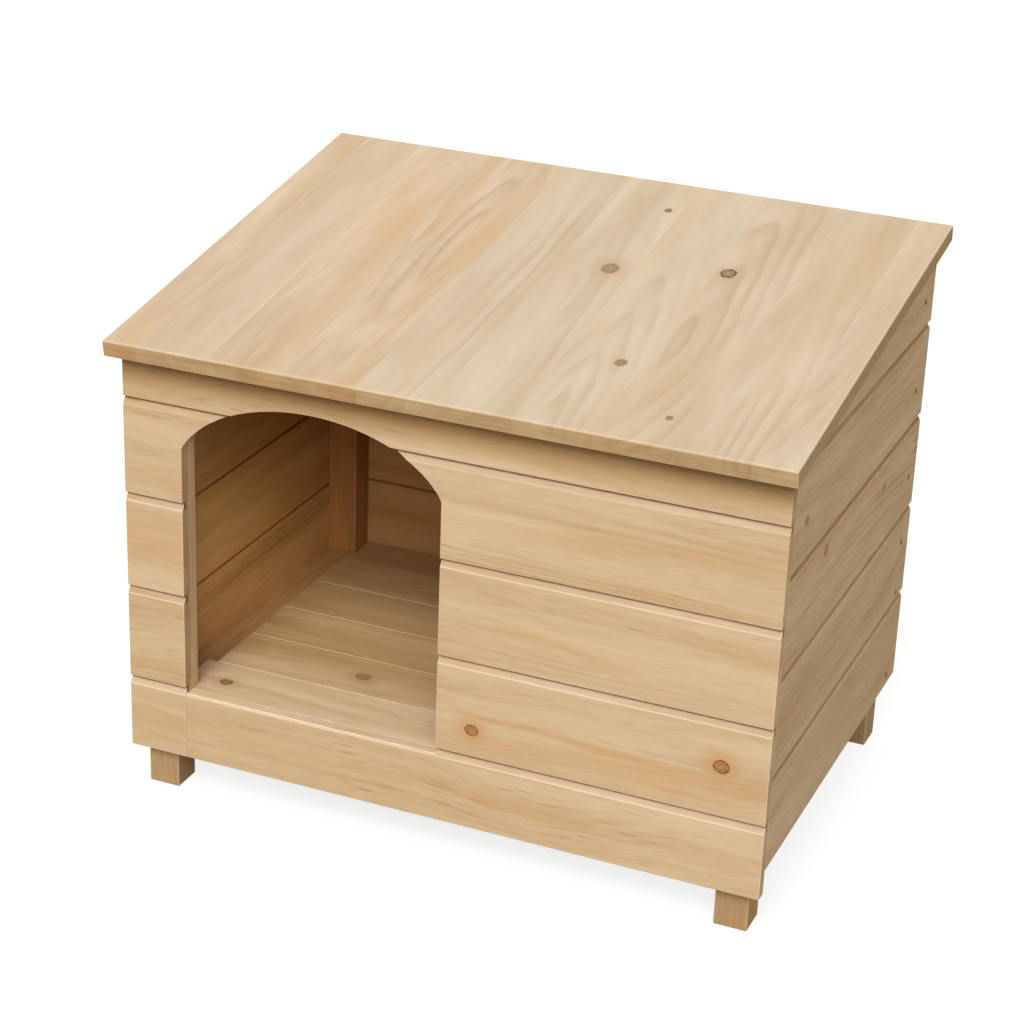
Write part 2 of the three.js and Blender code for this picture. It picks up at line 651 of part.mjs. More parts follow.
/** Rivet through the bracket's ear and the arm's eye, with a head on each side. */
function stayRivet() {
  const innerEnd = earInner - CLEARANCE;
  const outerEnd = armOuter + CLEARANCE;
  const head = STUD_HEAD_HEIGHT;
  return solidOf(bar(STUD_RADIUS, innerEnd - head / 2, outerEnd + head / 2, pivot.y, pivot.z))
    .add(solidOf(bar(STUD_HEAD_RADIUS, innerEnd - head, innerEnd, pivot.y, pivot.z)))
    .add(solidOf(bar(STUD_HEAD_RADIUS, outerEnd, outerEnd + head, pivot.y, pivot.z)));
}

function addStay() {
  addPiece(house, 'stay_wall_stud', stayStud(), steel);
  addPiece(roof, 'stay_roof_bracket', stayBracket(), steel);
  addPiece(house, 'stay_pivot_rivet', stayRivet(), steel);

  const reach = stud.clone().sub(pivot).normalize();
  const across = new THREE.Vector3().crossVectors(unitX, reach);
  const arm = addPiece(house, 'stay_arm', stayArm(), steel);
  arm.quaternion.setFromRotationMatrix(new THREE.Matrix4().makeBasis(reach, across, unitX));
  arm.position.set(armInner, pivot.y, pivot.z);
}

// ---------------------------------------------------------------------------------------------
// The whole house, with its origin on the ground under the middle of the roof
// ---------------------------------------------------------------------------------------------

addPosts();
addFrontWall();
addSideAndRearWalls();
addTopRails();
addDoorStiles();
addFloor();
addRoofPanel();
addCleats();
addHinges();
addStay();
house.add(roof);

const roofFront = -OVERHANG_FRONT - (ROOF_THICKNESS - ROOF_EDGE_EASE) * Math.sin(slope);
const roofRear = WALL_DEPTH + OVERHANG_REAR;
house.position.set(-WALL_WIDTH / 2, -(roofFront + roofRear) / 2, 0);

const group = new THREE.Group();
group.add(house);

export default group;
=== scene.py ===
"""Pine dog house: dresses the timber, the steel fittings and the fasteners, and sets the studio.

The timber pieces are eased copies of the construction's own solids, so they keep its sizes and
places. Lengths are metres, X runs along the front wall, Y to the rear and Z up.
"""
import json
import logging
import math
import random
from dataclasses import dataclass, field, replace
from enum import Enum

import bmesh
import bpy
from mathutils import Matrix, Vector

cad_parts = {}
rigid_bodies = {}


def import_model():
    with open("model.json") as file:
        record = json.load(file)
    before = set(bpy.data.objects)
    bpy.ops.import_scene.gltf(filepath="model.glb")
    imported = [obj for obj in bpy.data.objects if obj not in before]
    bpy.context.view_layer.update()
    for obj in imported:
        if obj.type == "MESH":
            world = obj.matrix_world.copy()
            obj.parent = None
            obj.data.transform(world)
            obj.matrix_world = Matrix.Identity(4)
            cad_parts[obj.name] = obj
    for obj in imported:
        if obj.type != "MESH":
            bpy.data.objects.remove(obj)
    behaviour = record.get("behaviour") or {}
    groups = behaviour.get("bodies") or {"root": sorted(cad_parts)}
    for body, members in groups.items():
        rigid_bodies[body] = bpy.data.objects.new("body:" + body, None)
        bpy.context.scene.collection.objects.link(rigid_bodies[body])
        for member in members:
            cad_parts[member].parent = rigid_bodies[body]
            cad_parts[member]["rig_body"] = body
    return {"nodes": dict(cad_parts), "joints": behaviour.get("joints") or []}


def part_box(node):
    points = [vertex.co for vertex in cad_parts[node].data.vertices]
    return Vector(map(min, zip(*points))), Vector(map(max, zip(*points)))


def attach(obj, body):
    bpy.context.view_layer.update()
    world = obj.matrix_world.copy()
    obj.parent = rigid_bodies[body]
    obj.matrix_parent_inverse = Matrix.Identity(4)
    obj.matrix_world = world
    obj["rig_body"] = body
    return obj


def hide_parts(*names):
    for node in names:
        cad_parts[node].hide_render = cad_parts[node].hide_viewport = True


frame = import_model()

log = logging.getLogger("dog_house")
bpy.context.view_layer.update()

Tone = tuple[float, float, float, float]
Triple = tuple[float, float, float]
Socket = bpy.types.NodeSocket
Source = bpy.types.NodeSocket | Tone | Triple | Vector | float


# --- Choices and small values ---


class Grain(Enum):
    """How a timber's fibres lie: the axes along them, across the face and into the wood."""

    FRONT = ((1, 0, 0), (0, 0, 1), (0, -1, 0))
    SIDE = ((0, 1, 0), (0, 0, 1), (1, 0, 0))
    UPRIGHT = ((0, 0, 1), (1, 0, 0), (0, 1, 0))
    FLAT = ((1, 0, 0), (0, 1, 0), (0, 0, 1))
    DEEP = ((0, 1, 0), (-1, 0, 0), (0, 0, 1))

    def turn(self) -> Matrix:
        """Rotation that takes the shared frame to along, across and into the wood."""
        return Matrix(self.value)


class Slot(Enum):
    """Material slots of the record."""

    WALL = "wall_pine"
    ROOF = "roof_pine"
    FRAME = "frame_pine"
    FLOOR = "floor_pine"
    STEEL = "hinge_steel"


class Facing(Enum):
    """The way that a fastener's head looks."""

    RIGHT = (1, 0, 0)
    LEFT = (-1, 0, 0)
    REAR = (0, 1, 0)

    def look(self) -> Vector:
        """The way as a vector."""
        return Vector(self.value)


@dataclass(frozen=True)
class Noise:
    """A noise pattern: how tightly it repeats along each axis, and its detail."""

    stretch: Triple
    detail: float


@dataclass(frozen=True)
class Ramp:
    """Takes a value from low..high to start..end and holds it there."""

    low: float = 0.0
    high: float = 1.0
    start: float = 0.0
    end: float = 1.0
    smooth: bool = False


@dataclass(frozen=True)
class Knot:
    """A knot in a face, by its place in the shared frame."""

    place: Triple
    radius: float
    halo: float = 0.55
    dark: float = 0.9
    fill: float = 0.8


@dataclass(frozen=True)
class ResinStreak:
    """A soft darker streak in a face, from one place in the shared frame to another."""

    start: Triple
    end: Triple
    width: float = 0.007
    share: float = 0.75


EASED = "eased_edge"
BEYOND_THE_BOARD = (9.0, 9.1)


@dataclass(frozen=True)
class Lap:
    """A wall board's outer face, top, uncovered stretch and eave, from the board's middle."""

    face: float
    top: float
    bare: tuple[float, float] = BEYOND_THE_BOARD
    eave: float = 0.0


INNER_FACE_SLACK = 0.002
CABIN = {
    "Half Width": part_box("right_board_1")[0].x + INNER_FACE_SLACK,
    "Doorway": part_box("front_right_board_2")[1].y,
    "Rear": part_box("rear_board_2")[0].y + INNER_FACE_SLACK,
    "Ground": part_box("floor_rail_left")[0].z,
}


# --- Shader building ---


class Bench:
    """Adds shader nodes to one tree, in rows, and wires them."""

    ROW = 12
    STEP = (200, -220)

    def __init__(self, tree: bpy.types.NodeTree) -> None:
        """Starts on an empty or existing tree."""
        self.tree = tree

    def node(self, kind: str, **settings: object) -> bpy.types.Node:
        """Adds a node.

        Args:
            kind: Blender's name of the node type, less its first word.
            settings: properties to set on it.

        Returns:
            The new node.
        """
        made = self.tree.nodes.new(f"ShaderNode{kind}")
        row, column = divmod(len(self.tree.nodes), self.ROW)
        made.location = (self.STEP[0] * column, self.STEP[1] * row)
        for name, value in settings.items():
            setattr(made, name, value)
        return made

    def feed(self, socket: Socket, value: Source) -> None:
        """Links a socket, or sets its value where the source is a plain number or tuple."""
        if isinstance(value, bpy.types.NodeSocket):
            self.tree.links.new(value, socket)
        else:
            socket.default_value = value

    def feed_named(self, sockets: bpy.types.bpy_prop_collection, values: dict[str, Source]) -> None:
        """Feeds sockets by their names."""
        for name, value in values.items():
            self.feed(sockets[name], value)

    def feed_first(self, made: bpy.types.Node, values: tuple[Source, ...]) -> bpy.types.Node:
        """Feeds a node's first sockets in order and returns the node."""
        for socket, value in zip(made.inputs, values):
            self.feed(socket, value)
        return made

    def calc(self, operation: str, *values: Source) -> Socket:
        """Adds a Math node and returns its result."""
        return self.feed_first(self.node("Math", operation=operation), values).outputs[0]

    def plus(self, first: Source, second: Source) -> Socket:
        """Adds two numbers."""
        return self.calc("ADD", first, second)

    def minus(self, first: Source, second: Source) -> Socket:
        """Takes the second number from the first."""
        return self.calc("SUBTRACT", first, second)

    def times(self, first: Source, second: Source) -> Socket:
        """Multiplies two numbers."""
        return self.calc("MULTIPLY", first, second)

    def over(self, first: Source, second: Source) -> Socket:
        """Divides the first number by the second."""
        return self.calc("DIVIDE", first, second)

    def size(self, value: Source) -> Socket:
        """A number without its sign."""
        return self.calc("ABSOLUTE", value)

    def vector(self, operation: str, *values: Source) -> Socket:
        """Adds a Vector Math node and returns its vector."""
        return self.feed_first(self.node("VectorMath", operation=operation), values).outputs[0]

    def dot(self, first: Source, second: Source) -> Socket:
        """The dot product of two vectors."""
        made = self.node("VectorMath", operation="DOT_PRODUCT")
        return self.feed_first(made, (first, second)).outputs["Value"]

    def split(self, vector: Source) -> bpy.types.bpy_prop_collection:
        """The three parts of a vector."""
        return self.feed_first(self.node("SeparateXYZ"), (vector,)).outputs

    def combine(self, x: Source = 0.0, y: Source = 0.0, z: Source = 0.0) -> Socket:
        """A vector from its three parts."""
        return self.feed_first(self.node("CombineXYZ"), (x, y, z)).outputs[0]

    def noise(self, place: Source, pattern: Noise) -> Socket:
        """Adds noise over a place that is stretched per axis, and returns its value."""
        made = self.node("TexNoise")
        stretched = self.vector("MULTIPLY", place, pattern.stretch)
        self.feed_named(made.inputs, {"Vector": stretched, "Scale": 1.0, "Detail": pattern.detail})
        return made.outputs["Fac"]

    def swing(self, place: Source, pattern: Noise, width: float) -> Socket:
        """Adds noise that swings about nothing, as far as a width to either side."""
        return self.spread(self.noise(place, pattern), Ramp(start=-width, end=width))

    def spread(self, value: Source, ramp: Ramp) -> Socket:
        """Takes a value along a ramp and returns it."""
        made = self.node("MapRange", interpolation_type="SMOOTHSTEP" if ramp.smooth else "LINEAR")
        values = (value, ramp.low, ramp.high, ramp.start, ramp.end)
        return self.feed_first(made, values).outputs[0]

    def blend(self, factor: Source, first: Source, second: Source, mode: str = "MIX") -> Socket:
        """Blends two colours by a factor and returns the colour."""
        made = self.node("Mix", data_type="RGBA", blend_type=mode)
        for index, value in ((0, factor), (6, first), (7, second)):
            self.feed(made.inputs[index], value)
        return made.outputs[2]

    def tint(self, mask: Source, colour: Source, tint: Tone) -> Socket:
        """Multiplies a colour by a tint as far as the mask says."""
        return self.blend(mask, colour, tint, mode="MULTIPLY")

    def group(self, tree: bpy.types.NodeTree,
              values: dict[str, Source]) -> bpy.types.bpy_prop_collection:
        """Places a node group, feeds its inputs by name and returns its outputs."""
        made = self.node("Group", node_tree=tree)
        self.feed_named(made.inputs, values)
        return made.outputs

    def surface(self, shader: bpy.types.Node) -> None:
        """Ends a material with the shader as its surface."""
        self.feed(self.node("OutputMaterial").inputs["Surface"], shader.outputs[0])


def new_group(name: str, inputs: dict[str, str], outputs: tuple[str, ...]) -> tuple:
    """Starts a shader node group.

    Args:
        name: the group's name.
        inputs: input names and their socket kinds.
        outputs: output names, of which Place is a vector, Color a colour and the others numbers.

    Returns:
        The group's bench, the sockets that it takes from and the sockets that it gives to.
    """
    kinds = {"Place": "Vector", "Color": "Color"}
    tree = bpy.data.node_groups.new(name, "ShaderNodeTree")
    for socket, kind in inputs.items():
        tree.interface.new_socket(name=socket, in_out="INPUT", socket_type=f"NodeSocket{kind}")
    for socket in outputs:
        kind = f"NodeSocket{kinds.get(socket, 'Float')}"
        tree.interface.new_socket(name=socket, in_out="OUTPUT", socket_type=kind)
    ends = [tree.nodes.new(f"NodeGroup{end}") for end in ("Input", "Output")]
    return Bench(tree), ends[0].outputs, ends[1].inputs


def new_material(name: str) -> tuple[bpy.types.Material, Bench]:
    """Starts a material with no nodes and returns it with its bench."""
    made = bpy.data.materials.new(name)
    made.use_nodes = True
    made.node_tree.nodes.clear()
    return made, Bench(made.node_tree)


@dataclass(frozen=True)
class PineGrain:
    """The group for planed pine: faint annual rings, soft streaks, resin tones and fibres."""

    slide_along: float = 3.7
    slide_across: float = 1.9
    sway: Noise = Noise((1.5, 4.5, 4.5), 1.5)
    sway_width: float = 0.032
    waver: Noise = Noise((7.0, 26.0, 26.0), 1.0)
    waver_width: float = 0.0045
    ring_lean: float = 0.6
    wobble: Noise = Noise((3.0, 30.0, 30.0), 1.0)
    wobble_rings: float = 2.2
    rise: Ramp = Ramp(0.15, 0.82, smooth=True)
    rise_power: float = 1.5
    fall: Ramp = Ramp(0.84, 1.0, 1.0, 0.0, smooth=True)
    strength: Noise = Noise((1.3, 20.0, 20.0), 2.0)
    strong: Ramp = Ramp(0.42, 0.72, smooth=True)
    wide: Noise = Noise((2.3, 30.0, 30.0), 2.2)
    streak: Noise = Noise((7.5, 125.0, 125.0), 2.2)
    broad: Noise = Noise((1.3, 9.0, 9.0), 2.0)
    layer_level: float = 0.45
    layer_shares: Triple = (1.5, 0.7, 0.75)
    fibre: Noise = Noise((36.0, 430.0, 430.0), 2.5)
    fibre_level: float = 0.5
    fleck: Noise = Noise((22.0, 330.0, 330.0), 1.5)
    flecked: Ramp = Ramp(0.6, 0.74, 0.0, 0.5, smooth=True)
    fleck_patches: Ramp = Ramp(0.42, 0.58)
    fleck_share: float = 1.4
    base_tone: float = 0.25
    resin: Noise = Noise((1.9, 24.0, 24.0), 2.5)
    resinous: Ramp = Ramp(0.47, 0.74, smooth=True)
    fibre_height: float = 0.8
    latewood_height: float = 0.35
    roughness: Ramp = Ramp(0.2, 0.8, 0.52, 0.68)

    def build(self) -> bpy.types.NodeTree:
        """Builds the group, which reads a place as along, across and into the wood."""
        numbers = ("Seed", "Ring Spacing", "Pith Across", "Pith Depth", "Tilt", "Ring Contrast",
                   "Streak Contrast", "Fibre Contrast", "Resin Share", "Figure Length",
                   "Figure Width")
        inputs = {"Place": "Vector", **dict.fromkeys(("Early", "Late", "Resin"), "Color"),
                  **dict.fromkeys(numbers, "Float")}
        bench, take, give = new_group("pine_grain", inputs, ("Color", "Height", "Roughness"))
        shift = bench.combine(bench.times(take["Seed"], self.slide_along),
                              bench.times(take["Seed"], self.slide_across))
        thin = bench.over(1.0, take["Figure Width"])
        drawn = bench.combine(bench.over(1.0, take["Figure Length"]), thin, thin)
        straight = bench.vector("ADD", bench.vector("MULTIPLY", take["Place"], drawn), shift)
        lean = bench.plus(bench.swing(straight, self.sway, self.sway_width),
                          bench.swing(straight, self.waver, self.waver_width))
        seeded = bench.vector("ADD", straight, bench.combine(y=lean))

        latewood = bench.times(self._latewood(bench, take, straight, lean),
                               bench.spread(bench.noise(seeded, self.strength), self.strong))
        streak = bench.noise(seeded, self.streak)
        broad = bench.noise(straight, self.broad)
        layers = (bench.noise(seeded, self.wide), streak, broad)
        tone = bench.times(latewood, take["Ring Contrast"])
        for layer, share in zip(layers, self.layer_shares):
            weight = bench.times(take["Streak Contrast"], share)
            tone = bench.plus(tone, bench.times(bench.minus(layer, self.layer_level), weight))
        fibre = bench.noise(seeded, self.fibre)
        fine = bench.times(bench.minus(fibre, self.fibre_level), take["Fibre Contrast"])
        patches = bench.times(take["Fibre Contrast"], bench.spread(broad, self.fleck_patches))
        fleck = bench.times(bench.spread(bench.noise(seeded, self.fleck), self.flecked), patches)
        tone = bench.plus(bench.plus(tone, fine), bench.times(fleck, self.fleck_share))
        tone = bench.spread(bench.plus(tone, self.base_tone), Ramp())
        colour = bench.blend(tone, take["Early"], take["Late"])
        resin = bench.spread(bench.noise(seeded, self.resin), self.resinous)
        colour = bench.blend(bench.times(resin, take["Resin Share"]), colour, take["Resin"])
        height = bench.minus(bench.times(fibre, self.fibre_height),
                             bench.times(latewood, self.latewood_height))
        bench.feed_named(give, {"Color": colour, "Height": height,
                                "Roughness": bench.spread(streak, self.roughness)})
        return bench.tree

    def _latewood(self, bench: Bench, take: bpy.types.bpy_prop_collection, straight: Socket,
                  lean: Socket) -> Socket:
        """Draws the annual rings about the pith.

        Args:
            bench: the group's bench.
            take: the group's inputs.
            straight: the place in the log, before it sways.
            lean: how far the grain sways to the side.

        Returns:
            A mask that is full on the latewood of each year.
        """
        along, across, depth = bench.split(take["Place"])
        tilted = bench.plus(take["Pith Depth"], bench.times(along, take["Tilt"]))
        side = bench.plus(bench.minus(across, take["Pith Across"]),
                          bench.times(lean, self.ring_lean))
        deep = bench.plus(depth, tilted)
        squares = bench.plus(bench.calc("POWER", side, 2.0), bench.times(deep, deep))
        rings = bench.over(bench.calc("SQRT", squares), take["Ring Spacing"])
        wobble = bench.times(bench.noise(straight, self.wobble), self.wobble_rings)
        year = bench.calc("FRACT", bench.plus(rings, wobble))
        rise = bench.calc("POWER", bench.spread(year, self.rise), self.rise_power)
        return bench.times(rise, bench.spread(year, self.fall))


@dataclass(frozen=True)
class KnotShape:
    """The group for one knot, which bends the grain round itself and gives its masks."""

    squeeze: float = 0.85
    wobble: Noise = Noise((120.0, 120.0, 120.0), 2.0)
    wobbling: Ramp = Ramp(0.0, 1.0, 0.78, 1.22)
    bend: float = 0.95
    core: Ramp = Ramp(1.06, 0.9, smooth=True)
    rim_at: float = 0.97
    rim: Ramp = Ramp(0.27, 0.07, smooth=True)
    ring_at: float = 0.5
    ring: Ramp = Ramp(0.16, 0.03, 0.0, 0.6, smooth=True)
    breaks: Noise = Noise((230.0, 230.0, 230.0), 1.0)
    broken: Ramp = Ramp(0.35, 0.6, 0.5, 1.0)
    halo: Ramp = Ramp(3.6, 0.9, smooth=True)

    def build(self) -> bpy.types.NodeTree:
        """Builds the group, which passes the bent place on, with masks for core, rim and halo."""
        inputs = {"Place": "Vector", "Centre": "Vector", "Radius": "Float"}
        bench, take, give = new_group("pine_knot", inputs, ("Place", "Core", "Rim", "Halo"))
        place = take["Place"]
        offset = bench.split(bench.vector("SUBTRACT", place, take["Centre"]))
        along = bench.times(offset[0], self.squeeze)
        across = offset[1]
        wobble = bench.spread(bench.noise(place, self.wobble), self.wobbling)
        squares = bench.plus(bench.times(along, along), bench.times(across, across))
        away = bench.over(bench.times(bench.calc("SQRT", squares), wobble), take["Radius"])
        pull = bench.over(1.0, bench.calc("MAXIMUM", bench.times(away, away), 1.0))
        bend = bench.combine(y=bench.times(across, bench.times(pull, self.bend)))
        rims = bench.calc("MAXIMUM",
                          bench.spread(bench.size(bench.minus(away, self.rim_at)), self.rim),
                          bench.spread(bench.size(bench.minus(away, self.ring_at)), self.ring))
        broken = bench.spread(bench.noise(place, self.breaks), self.broken)
        bench.feed_named(give, {"Place": bench.vector("SUBTRACT", place, bend),
                                "Core": bench.spread(away, self.core),
                                "Rim": bench.times(rims, broken),
                                "Halo": bench.spread(away, self.halo)})
        return bench.tree


@dataclass(frozen=True)
class CabinShading:
    """The group that tells how far inside the cabin a place lies, where painted shade and bounced
    light deepen the timber.
    """

    wall: Ramp = Ramp(-0.001, 0.001)
    entry: Ramp = Ramp(0.0, 0.17)
    lift: Ramp = Ramp(0.0, 0.01)
    rearward: float = 0.25
    loft: Ramp = Ramp(0.2, 0.52, smooth=True)

    def build(self) -> bpy.types.NodeTree:
        """Builds the group, with a mask of the inside and one that rises to roof and rear, for
        painted shade and light.
        """
        inputs = {"Place": "Vector", **dict.fromkeys(CABIN, "Float")}
        bench, take, give = new_group("cabin_shading", inputs, ("Inside", "Loft"))
        x, y, z = bench.split(take["Place"])
        between = bench.spread(bench.minus(take["Half Width"], bench.size(x)), self.wall)
        reach = bench.minus(y, take["Doorway"])
        before = bench.spread(bench.minus(take["Rear"], y), self.wall)
        above = bench.spread(bench.minus(z, take["Ground"]), self.lift)
        inside = bench.times(bench.times(between, bench.spread(reach, self.entry)),
                             bench.times(before, above))
        loft = bench.spread(bench.plus(z, bench.times(reach, self.rearward)), self.loft)
        bench.feed_named(give, {"Inside": inside, "Loft": bench.times(inside, loft)})
        return bench.tree


@dataclass(frozen=True)
class LapShade:
    """The group for the painted shade where one board tucks under the next."""

    near_top: Ramp = Ramp(0.0185, 0.0175)
    near_face: Ramp = Ramp(0.0095, 0.0085)
    line: Ramp = Ramp(0.0032, 0.0056, smooth=True)
    slope: Ramp = Ramp(0.0005, 0.0012)
    groove_start: Ramp = Ramp(0.0085, 0.0095)
    groove_end: Ramp = Ramp(0.0147, 0.0142)

    def build(self) -> bpy.types.NodeTree:
        """Builds the group.

        Returns:
            A group that reads the depth behind a board's face and the drop from its top, with masks
            for the painted shade of the line, of the whole chamfer and of the groove between the
            inner faces.
        """
        inputs = {"Depth": "Float", "Drop": "Float"}
        bench, take, give = new_group("lap_shade", inputs, ("Shade", "Slope", "Groove"))
        depth = take["Depth"]
        near = bench.times(bench.spread(take["Drop"], self.near_top),
                           bench.spread(depth, self.near_face))
        groove = bench.times(bench.spread(depth, self.groove_start),
                             bench.spread(depth, self.groove_end))
        bench.feed_named(give, {"Shade": bench.times(bench.spread(depth, self.line), near),
                                "Slope": bench.times(bench.spread(depth, self.slope), near),
                                "Groove": groove})
        return bench.tree


@dataclass(frozen=True)
class StreakShape:
    """The group for one resin streak, which wavers a little about its line."""

    first_end: Ramp = Ramp(0.0, 0.25, smooth=True)
    last_end: Ramp = Ramp(1.0, 0.6, smooth=True)
    waver: Noise = Noise((9.0, 9.0, 9.0), 1.0)
    waver_width: float = 0.012
    fibres: Noise = Noise((16.0, 300.0, 300.0), 2.0)
    fibrous: Ramp = Ramp(0.3, 0.65, 0.55, 1.0)
    sides: Ramp = Ramp(1.0, 0.0, smooth=True)

    def build(self) -> bpy.types.NodeTree:
        """Builds the group, whose mask is full on the line and fades to its sides and ends."""
        inputs = {**dict.fromkeys(("Place", "Start", "End"), "Vector"), "Width": "Float"}
        bench, take, give = new_group("resin_streak", inputs, ("Mask",))
        span = bench.vector("SUBTRACT", take["End"], take["Start"])
        reach = bench.vector("SUBTRACT", take["Place"], take["Start"])
        share = bench.over(bench.dot(reach, span), bench.dot(span, span))
        ends = bench.times(bench.spread(share, self.first_end), bench.spread(share, self.last_end))
        foot = bench.node("VectorMath", operation="SCALE")
        bench.feed(foot.inputs[0], span)
        bench.feed(foot.inputs["Scale"], share)
        off = bench.split(bench.vector("SUBTRACT", reach, foot.outputs[0]))
        waver = bench.swing(take["Place"], self.waver, self.waver_width)
        away = bench.over(bench.size(bench.plus(off[1], waver)), take["Width"])
        fibres = bench.spread(bench.noise(take["Place"], self.fibres), self.fibrous)
        body = bench.times(bench.spread(away, self.sides), fibres)
        bench.feed(give["Mask"], bench.times(body, ends))
        return bench.tree


@dataclass(frozen=True)
class EdgeLight:
    """The group for eased edges: painted highlights on those that face the light, painted shade on
    those that face away.
    """

    pale: Ramp = Ramp(0.2, 0.45)
    shade_facing: Ramp = Ramp(0.0, -0.2)
    gap: Ramp = Ramp(0.9, 0.96)

    def build(self) -> bpy.types.NodeTree:
        """Builds the group.

        Returns:
            A group with masks for the painted highlight on edges that face Towards, for the painted
            shade on those that face away from it and for the painted shade at the foot of the first
            ones.
        """
        inputs = {"Mark": "Float", "Normal": "Vector", "Towards": "Vector", "Inside": "Float"}
        bench, take, give = new_group("edge_light", inputs, ("Lit Edge", "Shaded Edge", "Gap"))
        towards = bench.dot(take["Normal"], take["Towards"])
        masks = {"Lit Edge": bench.times(bench.spread(towards, self.pale),
                                     bench.minus(1.0, take["Inside"])),
                 "Shaded Edge": bench.spread(towards, self.shade_facing), "Gap": bench.spread(towards, self.gap)}
        for name, mask in masks.items():
            bench.feed(give[name], bench.times(take["Mark"], mask))
        return bench.tree


GRAIN_GROUP = PineGrain().build()
KNOT_GROUP = KnotShape().build()
CABIN_SHADING_GROUP = CabinShading().build()
LAP_GROUP = LapShade().build()
STREAK_GROUP = StreakShape().build()
EDGE_LIGHT_GROUP = EdgeLight().build()


# --- Finishes ---


def srgb(red: int, green: int, blue: int) -> Tone:
    """Turns a screen colour into the linear one that a socket holds."""
    def linear(value: int) -> float:
        """One channel, from 0..255 to linear."""
        share = value / 255
        return share / 12.92 if share <= 0.04045 else ((share + 0.055) / 1.055) ** 2.4
    return (linear(red), linear(green), linear(blue), 1.0)


@dataclass(frozen=True)
class Blank:
    """One timber piece's material in the making, with its places."""

    bench: Bench
    grain: Grain
    centre: Vector
    place: Socket
    room_place: Socket
    normal: Socket

    @classmethod
    def start(cls, bench: Bench, grain: Grain, centre: Vector) -> "Blank":
        """Turns the place so that it runs along, across and into the piece.

        Args:
            bench: the material's bench.
            grain: how the fibres lie in the piece.
            centre: the piece's middle, about which the pattern is centred.

        Returns:
            The new blank.
        """
        turn = grain.turn()
        coordinates = bench.node("TexCoord").outputs
        mapping = bench.node("Mapping", vector_type="POINT")
        bench.feed_named(mapping.inputs, {"Vector": coordinates["Object"],
                                          "Rotation": turn.to_euler("XYZ"),
                                          "Location": -(turn @ centre)})
        return cls(bench, grain, centre, mapping.outputs[0], coordinates["Object"],
                   coordinates["Normal"])

    def at(self, spot: Triple) -> Vector:
        """A spot of the shared frame, as along, across and into the piece."""
        return self.grain.turn() @ (Vector(spot) - self.centre)

    def faces(self, axis: int) -> Socket:
        """A mask of the faces that look along one axis of the grain, either way."""
        turned = self.bench.size(self.bench.dot(self.normal, self.grain.value[axis]))
        return self.bench.spread(turned, FACE_ON)


@dataclass(frozen=True)
class LogCut:
    """How much the pieces of a finish differ, as cuts from different places of a log."""

    seed: float = 9.0
    spacing: tuple[float, float] = (0.85, 1.25)
    pith_across: tuple[float, float] = (-0.06, 0.06)
    pith_depth: tuple[float, float] = (0.05, 0.11)
    tilt: tuple[float, float] = (0.012, 0.04)
    contrast: tuple[float, float] = (0.75, 1.15)
    stave_slide: float = 5.0
    stave_aside: float = 0.07
    stave_tone: float = 0.42


@dataclass(frozen=True)
class WallShades:
    """The painted shade that a wall board has from its neighbours and the eave, and the sill's
    paler top in the doorway, which is partly the floor's tone and partly painted light.
    """

    tread_drop: Ramp = Ramp(0.0166, 0.0159)
    tread_light_tint: Tone = (1.27, 1.33, 1.45, 1.0)
    lap_shadow_tint: Tone = (0.49, 0.355, 0.21, 1.0)
    groove_shade_tint: Tone = (0.42, 0.32, 0.2, 1.0)
    eave_reach: float = 0.04
    eave_shadow_tint: Tone = (0.68, 0.59, 0.43, 1.0)
    close_reach: float = 0.006
    close_past: float = 0.01
    eave_line_shadow_tint: Tone = (0.75, 0.68, 0.56, 1.0)


FACE_ON = Ramp(0.75, 0.95)
CUT = LogCut()
SHADES = WallShades()


